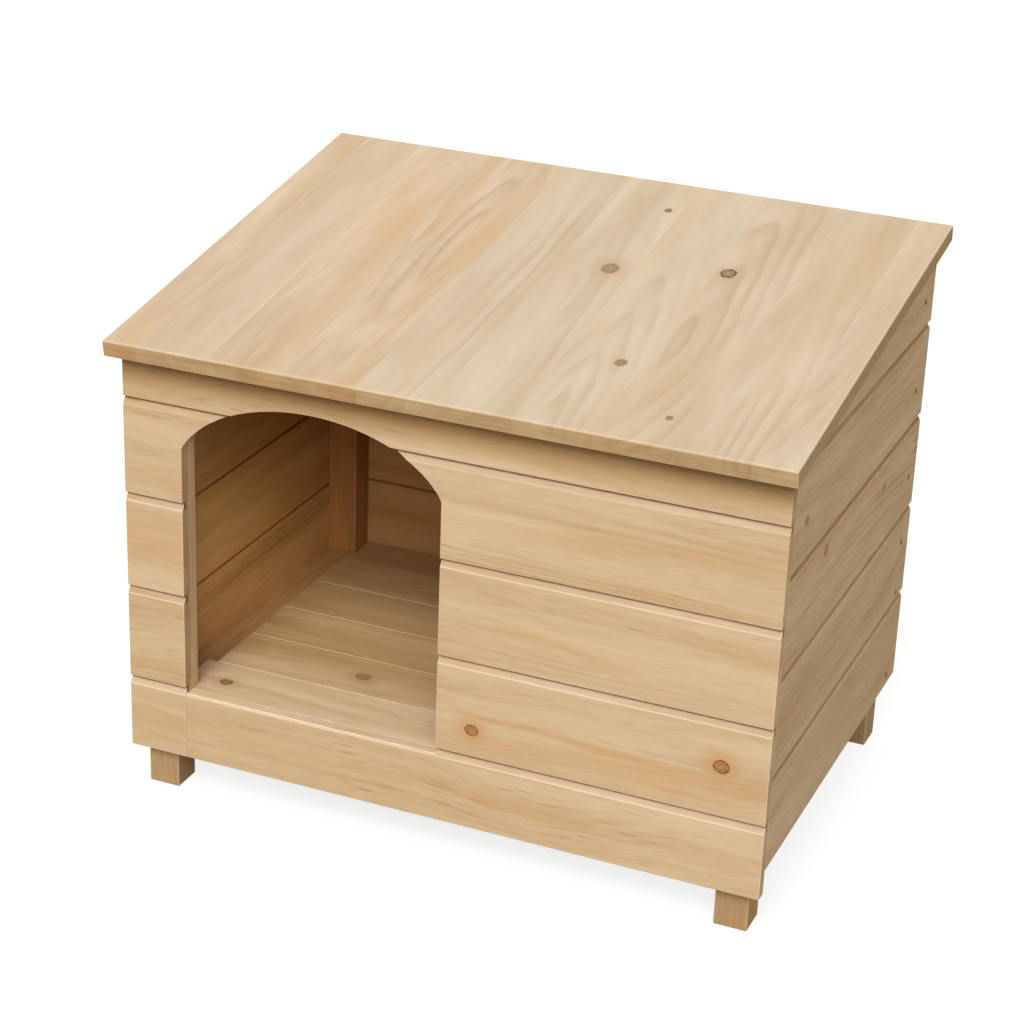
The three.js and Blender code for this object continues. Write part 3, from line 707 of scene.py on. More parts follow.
@dataclass(frozen=True)
class PineFinish:
    """Planed, unpainted pine, with its tones and the scale of its grain."""

    name: str
    early: Tone
    late: Tone
    resin: Tone = srgb(206, 158, 98)
    knot: Tone = srgb(190, 138, 88)
    halo: Tone = srgb(206, 148, 88)
    rim: Tone = srgb(118, 78, 44)
    # Painted highlight on eased edges that face the light: its tone and its share.
    edge_highlight: Tone = srgb(248, 228, 198)
    highlight_share: float = 0.5
    ring_spacing: float = 0.0052
    ring_contrast: float = 0.26
    streak_contrast: float = 0.6
    fibre_contrast: float = 0.62
    resin_share: float = 0.4
    figure_length: float = 1.0
    figure_width: float = 1.0
    end_tint: Tone = (0.8, 0.74, 0.64, 1.0)
    end_lines: float = 0.0
    end_line_noise: Noise = Noise((3.0, 9.0, 380.0), 2.5)
    end_line_levels: tuple[float, float] = (0.4, 0.65)
    end_line_tint: Tone = (0.6, 0.5, 0.38, 1.0)
    flank_tint: Tone | None = None
    # Painted shade and light: on edges that face away from the light, inside the cabin and towards
    # its roof and rear, in the slats' gaps and on the chamfers under the lap, and the way the light
    # comes from.
    edge_shade_tint: Tone = (0.5, 0.39, 0.26, 1.0)
    inside_light_tint: Tone | None = (1.18, 0.98, 0.7, 1.0)
    loft_shade_tint: Tone = (0.72, 0.65, 0.56, 1.0)
    gap_shade_tint: Tone | None = None
    slope_shade_tint: Tone = (0.9, 0.91, 0.98, 1.0)
    edge_light_from: Triple = (0.0, -0.6, 0.8)
    stave_width: float = 0.0
    stave_tint: Tone = srgb(214, 190, 164)
    gloss: float = 0.2
    fibre_depth: float = 0.0006
    fibre_strength: float = 0.22

    def material(self, piece: str, grain: Grain, centre: Vector, knots: tuple[Knot, ...],
                 streaks: tuple[ResinStreak, ...], lap: Lap | None) -> bpy.types.Material:
        """Makes the material of one piece, cut from its own part of a log.

        Args:
            piece: the piece's name, which also seeds its grain.
            grain: how the fibres lie in it.
            centre: the piece's middle, about which the pattern is centred.
            knots: the knots in it.
            streaks: the marked resin streaks in it.
            lap: where a wall board's face and top lie, or nothing for other timber.

        Returns:
            The new material.
        """
        made, bench = new_material(f"{self.name}_{piece}")
        blank = Blank.start(bench, grain, centre)
        colour, wood = self._figure(blank, piece, knots, streaks)
        colour = self._ends(blank, colour)
        colour = self._edge_light_and_cabin_shade(blank, lap, colour)
        bump = bench.node("Bump")
        bench.feed_named(bump.inputs, {"Strength": self.fibre_strength,
                                       "Distance": self.fibre_depth, "Height": wood["Height"]})
        shader = bench.node("BsdfPrincipled")
        bench.feed_named(shader.inputs, {"Base Color": colour, "Roughness": wood["Roughness"],
                                         "Specular IOR Level": self.gloss,
                                         "Normal": bump.outputs[0]})
        bench.surface(shader)
        return made

    def _figure(self, blank: Blank, piece: str, knots: tuple[Knot, ...],
                streaks: tuple[ResinStreak, ...]) -> tuple[Socket, bpy.types.bpy_prop_collection]:
        """Draws the wood itself.

        Args:
            blank: the material in the making.
            piece: the piece's name, which seeds its grain.
            knots: the knots in it.
            streaks: the marked resin streaks in it.

        Returns:
            The wood's colour, and the grain group's outputs.
        """
        bench, place = blank.bench, blank.place
        chance = random.Random(piece)
        seed = chance.uniform(0.0, CUT.seed)
        bent = []
        for knot in knots:
            masks = bench.group(KNOT_GROUP, {"Place": place, "Centre": blank.at(knot.place),
                                             "Radius": knot.radius})
            place = masks["Place"]
            bent.append((knot, masks))
        stave_tone = None
        if self.stave_width:
            place, seed, stave_tone = self._staves(blank, place, seed)
        wood = bench.group(GRAIN_GROUP, {
            "Place": place, "Seed": seed, "Early": self.early, "Late": self.late,
            "Resin": self.resin, "Ring Spacing": self.ring_spacing * chance.uniform(*CUT.spacing),
            "Pith Across": chance.uniform(*CUT.pith_across),
            "Pith Depth": chance.uniform(*CUT.pith_depth),
            "Tilt": chance.choice((-1, 1)) * chance.uniform(*CUT.tilt),
            "Ring Contrast": self.ring_contrast * chance.uniform(*CUT.contrast),
            "Streak Contrast": self.streak_contrast, "Fibre Contrast": self.fibre_contrast,
            "Resin Share": self.resin_share, "Figure Length": self.figure_length,
            "Figure Width": self.figure_width,
        })
        colour = wood["Color"]
        if stave_tone is not None:
            colour = bench.blend(stave_tone, colour, self.stave_tint)
        for streak in streaks:
            masks = bench.group(STREAK_GROUP, {
                "Place": blank.place, "Start": blank.at(streak.start),
                "End": blank.at(streak.end), "Width": streak.width})
            colour = bench.blend(bench.times(masks["Mask"], streak.share), colour, self.resin)
        for knot, masks in bent:
            for mask, share, tone in (("Halo", knot.halo, self.halo),
                                      ("Core", knot.fill, self.knot),
                                      ("Rim", knot.dark, self.rim)):
                colour = bench.blend(bench.times(masks[mask], share), colour, tone)
        return colour, wood

    def _staves(self, blank: Blank, place: Socket, seed: float) -> tuple[Socket, Socket, Socket]:
        """Cuts the pattern into glued staves, each from its own part of a log.

        Args:
            blank: the material in the making, whose place tells the stave.
            place: the place that the knots have bent.
            seed: the piece's own seed.

        Returns:
            The shifted place, a seed that changes from stave to stave, and the share of tint.
        """
        bench = blank.bench
        number = bench.calc("FLOOR", bench.over(bench.split(blank.place)[1], self.stave_width))
        draw = bench.node("TexWhiteNoise", noise_dimensions="1D")
        bench.feed(draw.inputs["W"], bench.plus(number, seed))
        chances = bench.split(draw.outputs["Color"])
        heart = bench.times(bench.plus(number, 0.5), self.stave_width)
        aside = bench.times(bench.minus(chances[1], 0.5), CUT.stave_aside)
        shift = bench.combine(bench.times(chances[0], CUT.stave_slide), bench.minus(aside, heart))
        return (bench.vector("ADD", place, shift), bench.times(draw.outputs["Value"], CUT.seed),
                bench.times(chances[2], CUT.stave_tone))

    def _ends(self, blank: Blank, colour: Socket) -> Socket:
        """Darkens the end grain and, where the finish says so, the long narrow faces.

        Args:
            blank: the material in the making.
            colour: the wood's colour.

        Returns:
            The colour with darker ends.
        """
        bench = blank.bench
        end = blank.faces(0)
        colour = bench.tint(end, colour, self.end_tint)
        if self.flank_tint is not None:
            colour = bench.tint(blank.faces(1), colour, self.flank_tint)
        if self.end_lines:
            lines = bench.noise(blank.place, self.end_line_noise)
            lines = bench.spread(lines, Ramp(*self.end_line_levels, 0.0, self.end_lines))
            colour = bench.tint(bench.times(lines, end), colour, self.end_line_tint)
        return colour

    def _edge_light_and_cabin_shade(self, blank: Blank, lap: Lap | None, colour: Socket) -> Socket:
        """Paints highlights and shade on the eased edges, and paints shade and bounced light inside
        the cabin.

        Args:
            blank: the material in the making.
            lap: a wall board's lap, or nothing for other timber.
            colour: the wood's colour.

        Returns:
            The colour with its painted highlights and shade.
        """
        bench = blank.bench
        inner_shading = None
        if self.inside_light_tint is not None:
            inner_shading = bench.group(CABIN_SHADING_GROUP, {"Place": blank.room_place, **CABIN})
        in_wall = inner_shading is not None and lap is not None
        mark = bench.node("Attribute", attribute_name=EASED).outputs["Fac"]
        edges = bench.group(EDGE_LIGHT_GROUP, {"Mark": mark, "Normal": blank.normal,
                                         "Towards": self.edge_light_from,
                                         "Inside": inner_shading["Inside"] if in_wall else 0.0})
        # Painted highlight on edges that face the light; painted shade on those that face away and
        # in the slats' gaps.
        colour = bench.blend(bench.times(edges["Lit Edge"], self.highlight_share), colour, self.edge_highlight)
        colour = bench.tint(edges["Shaded Edge"], colour, self.edge_shade_tint)
        if self.gap_shade_tint is not None:
            colour = bench.tint(edges["Gap"], colour, self.gap_shade_tint)
        if in_wall:
            colour = self._lap_shades(blank, lap, inner_shading["Inside"], colour)
        if inner_shading is not None:
            # Painted shade and bounced light inside the cabin, darker towards its roof and rear.
            colour = bench.tint(inner_shading["Inside"], colour, self.inside_light_tint)
            colour = bench.tint(inner_shading["Loft"], colour, self.loft_shade_tint)
        return colour

    def _lap_shades(self, blank: Blank, lap: Lap, inside: Socket, colour: Socket) -> Socket:
        """Paints shade on a board where it tucks under the next one and under the eave, and pales
        the tread of the sill, partly to the floor's tone and partly with painted light.

        Args:
            blank: the material in the making.
            lap: where the board's face and top lie.
            inside: how far inside the cabin the place lies.
            colour: the board's colour.

        Returns:
            The colour with its painted shade and light.
        """
        bench = blank.bench
        along, across, depth = bench.split(blank.place)
        drop = bench.minus(lap.top, across)
        masks = bench.group(LAP_GROUP, {"Depth": bench.size(bench.minus(depth, lap.face)),
                                        "Drop": drop})
        bare = bench.times(bench.calc("GREATER_THAN", along, lap.bare[0]),
                           bench.calc("LESS_THAN", along, lap.bare[1]))
        covered = bench.minus(1.0, bare)
        # The sill's bare top in the doorway: paler, partly the floor's tone and partly painted
        # light.
        tread = bench.times(bench.spread(drop, SHADES.tread_drop), bare)
        colour = bench.tint(tread, colour, SHADES.tread_light_tint)
        # Painted shade on the chamfer, under the lap and in the groove inside.
        for mask, share, tint in (("Slope", covered, self.slope_shade_tint),
                                  ("Shade", covered, SHADES.lap_shadow_tint),
                                  ("Groove", inside, SHADES.groove_shade_tint)):
            colour = bench.tint(bench.times(masks[mask], share), colour, tint)
        if lap.eave:
            # Painted shadow under the roof's overhang, with a darker painted line at its edge.
            close = lap.eave - SHADES.close_reach
            under = bench.spread(across, Ramp(lap.eave - SHADES.eave_reach, close, smooth=True))
            colour = bench.tint(under, colour, SHADES.eave_shadow_tint)
            rising = bench.spread(across, Ramp(close, lap.eave, smooth=True))
            past = Ramp(lap.eave + SHADES.close_past, lap.eave, smooth=True)
            line = bench.times(rising, bench.spread(across, past))
            colour = bench.tint(line, colour, SHADES.eave_line_shadow_tint)
        return colour


@dataclass(frozen=True)
class SteelFinish:
    """Plain steel with a faint mottle and fine scratches."""

    name: str
    light: Tone = srgb(202, 204, 206)
    dull: Tone = srgb(184, 186, 189)
    metal: float = 1.0
    mottle: Noise = Noise((190.0, 190.0, 190.0), 3.0)
    mottled: Ramp = Ramp(0.35, 0.65)
    scratches: Noise = Noise((57.0, 1710.0, 1710.0), 2.0)
    roughness: Ramp = Ramp(0.2, 0.8, 0.26, 0.44)

    def material(self) -> bpy.types.Material:
        """Makes the material."""
        made, bench = new_material(self.name)
        place = bench.node("TexCoord").outputs["Object"]
        mottle = bench.spread(bench.noise(place, self.mottle), self.mottled)
        shader = bench.node("BsdfPrincipled")
        bench.feed_named(shader.inputs, {
            "Base Color": bench.blend(mottle, self.light, self.dull), "Metallic": self.metal,
            "Roughness": bench.spread(bench.noise(place, self.scratches), self.roughness)})
        bench.surface(shader)
        return made


# The finishes' edge tones paint highlights on edges that face the light and shade on the others;
# their inside tints paint the cabin's inner shade and bounced light.
WALL_PINE = PineFinish(
    "wall_pine", srgb(224, 197, 160), srgb(186, 146, 96), knot=srgb(178, 124, 76),
    end_tint=(0.92, 0.88, 0.8, 1.0), streak_contrast=0.55, fibre_contrast=0.55)
SIDE_PINE = PineFinish(
    "side_pine", srgb(219, 190, 150), srgb(174, 137, 92), knot=srgb(168, 124, 80),
    end_tint=(0.92, 0.88, 0.82, 1.0), streak_contrast=0.72,
    inside_light_tint=(1.46, 1.26, 0.84, 1.0), loft_shade_tint=(0.5, 0.43, 0.3, 1.0),
    slope_shade_tint=(0.7, 0.62, 0.5, 1.0), highlight_share=0.1)
ROOF_PINE = PineFinish(
    "roof_pine", srgb(228, 206, 179), srgb(186, 153, 112), resin=srgb(210, 172, 124),
    knot=srgb(166, 137, 103), halo=srgb(204, 170, 130), rim=srgb(84, 66, 46), highlight_share=0.25,
    ring_spacing=0.016, ring_contrast=0.38, streak_contrast=0.8, fibre_contrast=0.12,
    resin_share=0.6, figure_length=6.0, figure_width=1.7, end_tint=(0.84, 0.715, 0.51, 1.0),
    end_lines=0.35, flank_tint=(0.66, 0.55, 0.38, 1.0), edge_shade_tint=(0.7, 0.6, 0.45, 1.0),
    inside_light_tint=None, stave_width=0.092, stave_tint=srgb(212, 200, 176))
# A darker pine for the posts, which paints the shade on their feet under the body.
POST_PINE = PineFinish("post_pine", srgb(192, 158, 116), srgb(152, 113, 72), highlight_share=0.3)
RAIL_PINE = PineFinish("rail_pine", srgb(194, 160, 116), srgb(155, 116, 74), highlight_share=0.2,
                       inside_light_tint=(1.4, 1.33, 1.15, 1.0))
FRAME_PINE = PineFinish("frame_pine", srgb(236, 205, 163), srgb(196, 156, 110), highlight_share=0.15)
# Frame pine without the cabin's painted inner light and shade.
UNLIT_PINE = replace(FRAME_PINE, inside_light_tint=None)
FLOOR_PINE = PineFinish(
    "floor_pine", srgb(240, 212, 174), srgb(199, 159, 111), highlight_share=0.4,
    edge_shade_tint=(0.32, 0.24, 0.16, 1.0), inside_light_tint=(0.84, 0.77, 0.6, 1.0),
    edge_light_from=(0.0, -0.95, 0.3), gap_shade_tint=(0.5, 0.38, 0.24, 1.0),
    knot=srgb(152, 126, 90), halo=srgb(190, 152, 106), rim=srgb(108, 84, 56))
# The first slat, paler: painted light where the doorway lets it in, with no painted highlight or
# gap shade.
DOORWAY_LIT_SLAT_PINE = replace(FLOOR_PINE, early=srgb(249, 227, 191), late=srgb(208, 171, 122),
                         highlight_share=0.0, gap_shade_tint=None)
ZINC = SteelFinish("zinc_steel").material()
NAIL_STEEL = SteelFinish("nail_steel", srgb(112, 84, 50), srgb(86, 63, 36), 0.0).material()


# --- Mesh building ---

MERGE_DISTANCE = 2e-6
FLAT_ANGLE = math.radians(0.4)
SHARP_ANGLE = math.radians(28)
EASE_SEGMENTS = 2


def select_only(*pieces: bpy.types.Object) -> None:
    """Selects these objects and no others, and makes the first one active."""
    bpy.ops.object.select_all(action="DESELECT")
    for piece in pieces:
        piece.select_set(True)
    bpy.context.view_layer.objects.active = pieces[0]


def eased_copy(node: str, ease: float, clamp: bool = True) -> bpy.types.Object:
    """Copies a construction solid and eases its sharp edges.

    Args:
        node: the solid's name.
        ease: width of the rounded edge.
        clamp: keeps the rounding from crossing itself on short edges.

    Returns:
        The new piece, with an attribute that marks the rounded edges.
    """
    piece = bpy.data.objects.new(f"{node}_dressed", frame["nodes"][node].data.copy())
    bpy.context.scene.collection.objects.link(piece)
    select_only(piece)
    piece.data.materials.clear()
    bpy.ops.mesh.customdata_custom_splitnormals_clear()
    bpy.ops.object.mode_set(mode="EDIT")
    bpy.ops.mesh.select_all(action="SELECT")
    bpy.ops.mesh.remove_doubles(threshold=MERGE_DISTANCE)
    bpy.ops.mesh.dissolve_limited(angle_limit=FLAT_ANGLE)
    bpy.ops.object.mode_set(mode="OBJECT")
    markers = [bpy.data.materials.new(f"{node}_{name}") for name in ("plain", "eased")]
    for marker in markers:
        piece.data.materials.append(marker)
    bevel = piece.modifiers.new("ease", "BEVEL")
    bevel.width = ease
    bevel.segments = EASE_SEGMENTS
    bevel.limit_method = "ANGLE"
    bevel.angle_limit = SHARP_ANGLE
    bevel.material = 1
    bevel.use_clamp_overlap = clamp
    bevel.harden_normals = True
    bpy.ops.object.shade_smooth_by_angle(angle=SHARP_ANGLE)
    bpy.ops.object.modifier_apply(modifier=bevel.name)
    marks = piece.data.attributes.new(EASED, "FLOAT", "CORNER")
    for face in piece.data.polygons:
        for corner in face.loop_indices:
            marks.data[corner].value = float(face.material_index == 1)
        face.material_index = 0
    piece.data.materials.clear()
    for marker in markers:
        bpy.data.materials.remove(marker)
    return piece


def middle(node: str) -> Vector:
    """The middle of a construction node's box."""
    low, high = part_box(node)
    return (low + high) / 2


def finish_piece(piece: bpy.types.Object, material: bpy.types.Material, body: str) -> None:
    """Gives a piece its material and its body, and reports it.

    Args:
        piece: the finished mesh.
        material: what it is made of.
        body: the body that it rides on.
    """
    piece.data.materials.clear()
    piece.data.materials.append(material)
    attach(piece, body)
    log.info("%s rides on %s, %d faces", piece.name, body, len(piece.data.polygons))


def nodes_named(*starts: str) -> list[str]:
    """Construction nodes whose names start so, in order."""
    return sorted(name for name in frame["nodes"] if name.startswith(starts))


# --- Timber ---


@dataclass
class Timber:
    """A family of timber pieces of one finish and one grain direction."""

    finish: PineFinish
    slot: Slot
    grain: Grain
    body: str = "house"
    ease: float = 0.0008
    clamp: bool = True
    eave_drop: float = 0.0165
    knots: dict[str, tuple[Knot, ...]] = field(default_factory=dict)
    streaks: dict[str, tuple[ResinStreak, ...]] = field(default_factory=dict)

    def dress(self, nodes: list[str]) -> None:
        """Replaces the named construction nodes by eased, dressed pieces.

        Args:
            nodes: names of the construction nodes.
        """
        for node in nodes:
            piece = eased_copy(node, self.ease, self.clamp)
            material = self.finish.material(node, self.grain, middle(node),
                                            self.knots.get(node, ()), self.streaks.get(node, ()),
                                            self._lap(node))
            finish_piece(piece, material, self.body)
            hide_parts(node)

    def _lap(self, node: str) -> Lap | None:
        """Tells where a wall board's face and top lie.

        Args:
            node: the board's name.

        Returns:
            The board's lap, or nothing for timber that isn't a wall board.
        """
        if self.slot is not Slot.WALL:
            return None
        low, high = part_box(node)
        half = (high - low) / 2
        depth = half.y if self.grain is Grain.FRONT else half.x
        outward = -1 if node.startswith(("left_", "rear_")) else 1
        lap = Lap(face=outward * depth, top=half.z)
        if node == "front_sill_board":
            centre = middle(node).x
            jambs = (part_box("door_stile_left")[1].x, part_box("door_stile_right")[0].x)
            return replace(lap, bare=(jambs[0] - centre, jambs[1] - centre))
        # The top board has the painted shadow under the roof's overhang.
        if node == "front_top_board":
            return replace(lap, eave=half.z - self.eave_drop)
        return lap


@dataclass
class Walls:
    """The shiplap walls with their knots."""

    front_face: float = field(default_factory=lambda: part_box("front_sill_board")[0].y)
    side_face: float = field(default_factory=lambda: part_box("right_board_1")[1].x)
    knot_radius: float = 0.0066
    large_knot: float = 1.15

    def build(self) -> None:
        """Dresses the front, rear and side boards."""
        front, side = self.front_face, self.side_face
        knots = {
            "front_right_board_1": (
                Knot((0.0475, front, 0.1818), self.knot_radius),
                Knot((0.3453, front, 0.2098), self.knot_radius * self.large_knot),
            ),
        }
        streaks = {
            "front_right_board_1": (
                ResinStreak((-0.02, front, 0.203), (0.38, front, 0.19)),
                ResinStreak((0.25, front, 0.166), (0.42, front, 0.172), 0.005, 0.5),
            ),
            "front_right_board_2": (
                ResinStreak((0.02, front, 0.318), (0.3, front, 0.3), 0.006, 0.45),
            ),
        }
        side_knots = {
            "right_board_3": (
                Knot((side, 0.1205, 0.402), 0.004, halo=0.3),
                Knot((side, -0.1235, 0.42), 0.006, halo=0.3, dark=0.5),
            ),
            "right_board_4": (Knot((side, -0.2145, 0.491), 0.005, halo=0.3, dark=0.5),),
        }
        wall = Timber(WALL_PINE, Slot.WALL, Grain.FRONT, knots=knots, streaks=streaks)
        wall.dress(nodes_named("front_"))
        wall.dress(nodes_named("rear_board"))
        boards = nodes_named("left_board", "right_board")
        top = max(boards)[-1]
        flank = Timber(SIDE_PINE, Slot.WALL, Grain.SIDE, knots=side_knots)
        flank.dress([name for name in boards if name[-1] != top])
        replace(flank, clamp=False).dress([name for name in boards if name[-1] == top])


@dataclass
class Frame:
    """Corner posts, door stiles, rails, bearers and cleats."""

    post_ease: float = 0.0012
    stile_ease: float = 0.0004

    def build(self) -> None:
        """Dresses the framing timber."""
        post = Timber(POST_PINE, Slot.FRAME, Grain.UPRIGHT, ease=self.post_ease)
        post.dress(nodes_named("post_"))
        stile = Timber(FRAME_PINE, Slot.FRAME, Grain.UPRIGHT, ease=self.stile_ease)
        stile.dress(nodes_named("door_stile"))
        rail = Timber(UNLIT_PINE, Slot.FRAME, Grain.FLAT)
        rail.dress(nodes_named("top_rail"))
        bearer = Timber(RAIL_PINE, Slot.FRAME, Grain.DEEP)
        bearer.dress(nodes_named("floor_rail", "floor_bearer"))
        replace(rail, body="roof").dress(nodes_named("roof_cleat"))


@dataclass
class Floor:
    """The slatted floor."""

    top: float = field(default_factory=lambda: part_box("floor_board_1")[1].z)
    ease: float = 0.002
    sill_slat_ease: float = 0.0004

    def build(self) -> None:
        """Dresses the slats. The first lies against the sill, so its front edge shows no line, and
        it is paler, with the doorway's light painted on it.
        """
        knots = {
            "floor_board_1": (Knot((-0.2958, -0.228, self.top), 0.0065, halo=0.3),),
            "floor_board_2": (
                Knot((-0.154, -0.1413, self.top), 0.008, halo=0.4, dark=0.3, fill=0.6),
            ),
        }
        first, *others = nodes_named("floor_board")
        slat = Timber(FLOOR_PINE, Slot.FLOOR, Grain.FLAT, ease=self.ease, knots=knots)
        replace(slat, finish=DOORWAY_LIT_SLAT_PINE, ease=self.sill_slat_ease).dress([first])
        slat.dress(others)


@dataclass
class Roof:
    """The edge-glued roof panel."""

    ease: float = 0.0006

    def build(self) -> None:
        """Dresses the panel with its knots."""
        knots = (
            Knot((0.064, 0.0544, 0.6394), 0.0097, halo=0.6, dark=0.4, fill=0.85),
            Knot((0.1978, 0.0889, 0.6451), 0.0085, halo=0.25, dark=1.0, fill=0.85),
            Knot((0.1577, -0.1509, 0.6058), 0.0064, halo=0.2, dark=0.25, fill=1.0),
            Knot((0.0751, 0.2221, 0.6669), 0.0038, halo=0.2, dark=1.0, fill=1.0),
            Knot((0.2489, -0.2447, 0.5905), 0.0036, halo=0.2, dark=0.7, fill=1.0),
        )
        panel = Timber(ROOF_PINE, Slot.ROOF, Grain.DEEP, body="roof", ease=self.ease,
                       knots={"roof_panel": knots})
        panel.dress(["roof_panel"])


# --- Steel ---


@dataclass(frozen=True)
class Fastener:
    """A round-headed fastener, modelled once and copied to each place."""

    radius: float
    height: float
    recess: float
    material: bpy.types.Material
    sides: int = 20
    shoulder: float = 0.3
    crown: float = 0.35
    recess_wall: float = 0.08
    smooth_angle: float = math.radians(40)

    def _model(self) -> bpy.types.Mesh:
        """Models the head about the origin, looking along +Z, and returns its mesh."""
        bpy.ops.object.select_all(action="DESELECT")
        bpy.ops.mesh.primitive_cylinder_add(vertices=self.sides, radius=self.radius,
                                            depth=self.height, location=(0, 0, self.height / 2))
        head = bpy.context.active_object
        bpy.ops.object.mode_set(mode="EDIT")
        bpy.ops.mesh.select_mode(type="FACE")
        bpy.ops.mesh.select_all(action="DESELECT")
        mesh = bmesh.from_edit_mesh(head.data)
        for face in mesh.faces:
            face.select = face.normal.z > 0.9
        bmesh.update_edit_mesh(head.data)
        for width, rise in ((self.shoulder, self.height * self.crown), (self.shoulder, 0),
                            (self.recess_wall, -self.recess)):
            bpy.ops.mesh.inset(thickness=self.radius * width, depth=rise)
        bpy.ops.object.mode_set(mode="OBJECT")
        bpy.ops.object.shade_smooth_by_angle(angle=self.smooth_angle)
        model = head.data
        bpy.data.objects.remove(head)
        return model

    def place(self, name: str, body: str, seats: list[Vector], look: Vector) -> None:
        """Puts one joined set of heads on a body.

        Args:
            name: the set's name.
            body: the body that it rides on.
            seats: each head's seat.
            look: the way that the heads look.
        """
        model = self._model()
        turn = look.to_track_quat("Z", "Y").to_matrix().to_4x4()
        heads = []
        for seat in seats:
            mesh = model.copy()
            mesh.transform(Matrix.Translation(seat) @ turn)
            heads.append(bpy.data.objects.new(name, mesh))
            bpy.context.scene.collection.objects.link(heads[-1])
        select_only(*heads)
        bpy.ops.object.join()
        joined = bpy.context.active_object
        joined.name = name
        bpy.data.meshes.remove(model)
        finish_piece(joined, self.material, body)


@dataclass
class Ironmongery:
    """Hinges, stay, screws and nails."""

    ease: float = 0.00025
    screw: Fastener = Fastener(0.0034, 0.0012, 0.0007, ZINC)
    nail: Fastener = Fastener(0.004, 0.0005, 0.0002, NAIL_STEEL)
    leaf_thickness: float = 0.002
    leaf_screw_drop: float = 0.62
    leaf_screw_reach: float = 0.0123
    plate_thickness: float = 0.0025
    plate_screw_reach: float = 0.34
    roof_slope: float = math.radians(9.3)
    pin_to_roof: float = 0.0043
    bracket_screw_inset: float = 0.011
    bracket_screw_steps: tuple[float, float] = (-0.011, 0.011)
    bracket_thickness: float = 0.0028
    cleat_screws: tuple[float, ...] = (-0.3, -0.1, 0.1, 0.3)
    cleat_screw_depth: float = 0.01
    nail_rows: tuple[float, ...] = (0.098, 0.213, 0.282, 0.369, 0.486, 0.598)
    nail_wander: float = 0.006
    nail_seed: int = 11

    def build(self) -> None:
        """Dresses the steel and adds the fasteners."""
        bodies = {name: frame["nodes"][name]["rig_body"] for name in nodes_named("hinge_", "stay_")}
        for node, body in bodies.items():
            piece = eased_copy(node, self.ease)
            finish_piece(piece, ZINC, body)
            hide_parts(node)
        hinge = next(joint for joint in frame["joints"] if joint["name"] == "roof_hinge")
        pin = Vector(hinge["pos_m"])
        self._wall_screws(pin)
        self._roof_screws(pin)
        self._nails()

    def _leaf_row(self, leaf: str) -> list[float]:
        """Where the three screws of a hinge leaf stand along it."""
        low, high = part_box(leaf)
        return [(high.x + low.x) / 2 + step * (high.x - low.x) / 3 for step in (-1, 0, 1)]

    def _wall_screws(self, pin: Vector) -> None:
        """Screws through the hinges' wall leaves and through the stay's wall plate.

        Args:
            pin: the middle of the hinge pins.
        """
        for side in ("left", "right"):
            leaf = f"hinge_wall_leaf_{side}"
            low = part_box(leaf)[0]
            height = pin.z - self.leaf_screw_drop * (pin.z - low.z)
            seats = [Vector((across, low.y + self.leaf_thickness, height))
                     for across in self._leaf_row(leaf)]
            self.screw.place(f"hinge_wall_screws_{side}", "house", seats, Facing.REAR.look())
        low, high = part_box("stay_wall_stud")
        centre = (low + high) / 2
        reach = (high.z - low.z) * self.plate_screw_reach
        seats = [Vector((high.x - self.plate_thickness, centre.y, centre.z + step * reach))
                 for step in (-1, 1)]
        self.screw.place("stay_plate_screws", "house", seats, Facing.LEFT.look())

    def _roof_screws(self, pin: Vector) -> None:
        """Screws through the roof leaves, the stay's bracket and the cleats, all from below.

        Args:
            pin: the middle of the hinge pins.
        """
        rearwards = Vector((0.0, math.cos(self.roof_slope), math.sin(self.roof_slope)))
        down = Vector((0.0, math.sin(self.roof_slope), -math.cos(self.roof_slope)))
        for side in ("left", "right"):
            seats = [Vector((across, pin.y, pin.z)) + self.leaf_screw_reach * rearwards
                     - self.leaf_thickness * down
                     for across in self._leaf_row(f"hinge_roof_leaf_{side}")]
            self.screw.place(f"hinge_roof_screws_{side}", "roof", seats, down)
        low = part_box("stay_roof_bracket")[0]
        under = pin - self.pin_to_roof * down
        reach = (middle("stay_roof_bracket").y - under.y) / math.cos(self.roof_slope)
        flange = Vector((low.x + self.bracket_screw_inset, under.y, under.z))
        seats = [flange + (reach + step) * rearwards + self.bracket_thickness * down
                 for step in self.bracket_screw_steps]
        self.screw.place("stay_bracket_screws", "roof", seats, down)
        for end in ("front", "rear"):
            heart = middle(f"roof_cleat_{end}")
            seats = [Vector((across, heart.y, heart.z)) + self.cleat_screw_depth * down
                     for across in self.cleat_screws]
            self.screw.place(f"roof_cleat_screws_{end}", "roof", seats, down)

    def _nails(self) -> None:
        """Nail heads where the side boards cross the rear posts."""
        chance = random.Random(self.nail_seed)
        wander = self.nail_wander
        for side, facing, corner in (("left", Facing.LEFT, 0), ("right", Facing.RIGHT, 1)):
            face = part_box(f"{side}_board_1")[corner].x
            post = middle(f"post_rear_{side}").y
            seats = [Vector((face, post + chance.uniform(-wander, wander), height))
                     for height in self.nail_rows]
            self.nail.place(f"wall_nails_{side}", "house", seats, facing.look())


# --- Studio ---


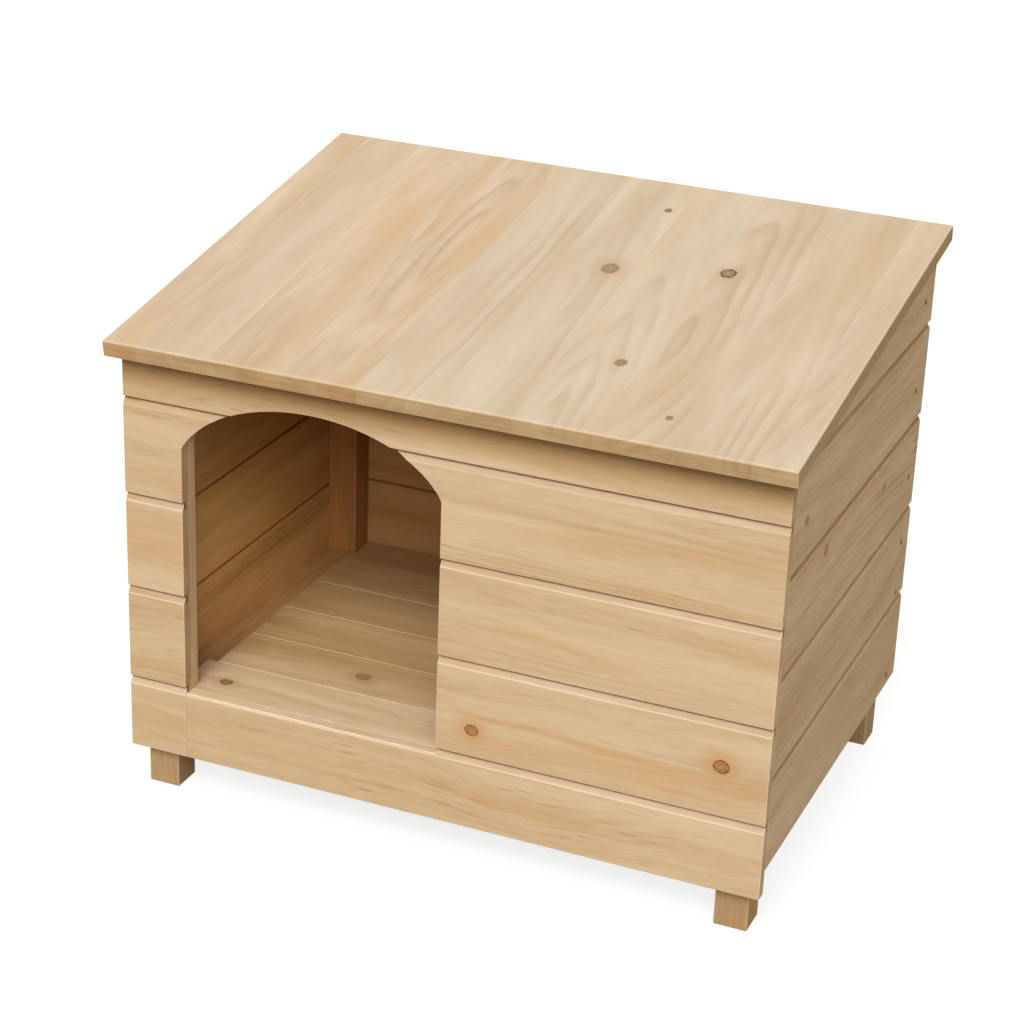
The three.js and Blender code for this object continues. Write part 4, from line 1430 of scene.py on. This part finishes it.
@dataclass
class Studio:
    """Camera, lights and the pale floor."""

    camera_place: Triple = (1.0475, -2.6349, 1.5792)
    heading: float = 22.162
    dip: float = 23.701
    roll: float = 2.214
    lens: float = 89.91
    sensor: float = 36.0
    sky: float = 0.53
    sky_tone: Tone = (1.0, 0.995, 0.985, 1.0)
    key: float = 1.35
    key_from: Triple = (0.0, -0.68, 0.733)
    key_softness: float = 22.0
    fill: float = 1.0
    fill_from: Triple = (0.36, -0.745, 0.56)
    fill_softness: float = 30.0
    floor_size: float = 60.0
    floor_height: float = -0.0004
    floor_bounce: Tone = (0.4, 0.395, 0.385, 1.0)
    floor_tone: Tone = (0.28, 0.28, 0.28, 1.0)
    floor_glow: float = 0.8

    def build(self) -> None:
        """Sets up the view, the light and the floor."""
        self._camera()
        self._lights()
        self._floor()
        bpy.context.scene.view_settings.view_transform = "Standard"

    def _camera(self) -> None:
        """Adds the camera at the photograph's angle."""
        heading, dip, roll = map(math.radians, (self.heading, self.dip, self.roll))
        ahead = Vector((-math.sin(heading) * math.cos(dip), math.cos(heading) * math.cos(dip),
                        -math.sin(dip)))
        level = Vector((math.cos(heading), math.sin(heading), 0))
        upright = level.cross(ahead)
        right = level * math.cos(roll) + upright * math.sin(roll)
        up = upright * math.cos(roll) - level * math.sin(roll)
        data = bpy.data.cameras.new("photo_camera")
        data.lens = self.lens
        data.sensor_width = self.sensor
        camera = bpy.data.objects.new("photo_camera", data)
        bpy.context.scene.collection.objects.link(camera)
        turn = Matrix((right, up, -ahead)).transposed().to_4x4()
        camera.matrix_world = Matrix.Translation(self.camera_place) @ turn
        bpy.context.scene.camera = camera

    def _lights(self) -> None:
        """Adds an even sky, a broad light from the front above and a fill from the right."""
        world = bpy.data.worlds.new("studio_sky")
        world.use_nodes = True
        background = world.node_tree.nodes["Background"]
        background.inputs["Color"].default_value = self.sky_tone
        background.inputs["Strength"].default_value = self.sky
        bpy.context.scene.world = world
        self._lamp("soft_key", self.key, self.key_from, self.key_softness)
        self._lamp("low_fill", self.fill, self.fill_from, self.fill_softness)

    def _lamp(self, name: str, strength: float, source: Triple, softness: float) -> None:
        """Adds one distant soft light.

        Args:
            name: the light's name.
            strength: its strength.
            source: the way from the object to it.
            softness: how wide it looks, in degrees.
        """
        data = bpy.data.lights.new(name, "SUN")
        data.energy = strength
        data.angle = math.radians(softness)
        lamp = bpy.data.objects.new(name, data)
        lamp.rotation_euler = Vector(source).to_track_quat("Z", "Y").to_euler()
        bpy.context.scene.collection.objects.link(lamp)

    def _floor(self) -> None:
        """Adds the floor, which looks paler to the camera than it is to bounced light."""
        bpy.ops.object.select_all(action="DESELECT")
        bpy.ops.mesh.primitive_plane_add(size=self.floor_size, location=(0, 0, self.floor_height))
        floor = bpy.context.active_object
        floor.name = "studio_floor"
        made, bench = new_material("studio_floor")
        dim = bench.feed_first(bench.node("BsdfDiffuse"), (self.floor_bounce,))
        pale = bench.feed_first(bench.node("BsdfDiffuse"), (self.floor_tone,))
        glow = bench.node("Emission")
        bench.feed(glow.inputs["Strength"], self.floor_glow)
        lit = bench.feed_first(bench.node("AddShader"), (pale.outputs[0], glow.outputs[0]))
        seen = bench.node("LightPath").outputs["Is Camera Ray"]
        choose = (seen, dim.outputs[0], lit.outputs[0])
        bench.surface(bench.feed_first(bench.node("MixShader"), choose))
        floor.data.materials.append(made)


def main() -> None:
    """Dresses the whole house and sets the studio."""
    logging.basicConfig(level=logging.INFO, format="%(name)s: %(message)s")
    Studio().build()
    for part in (Walls(), Frame(), Floor(), Roof(), Ironmongery()):
        part.build()


if __name__ == "__main__":
    main()
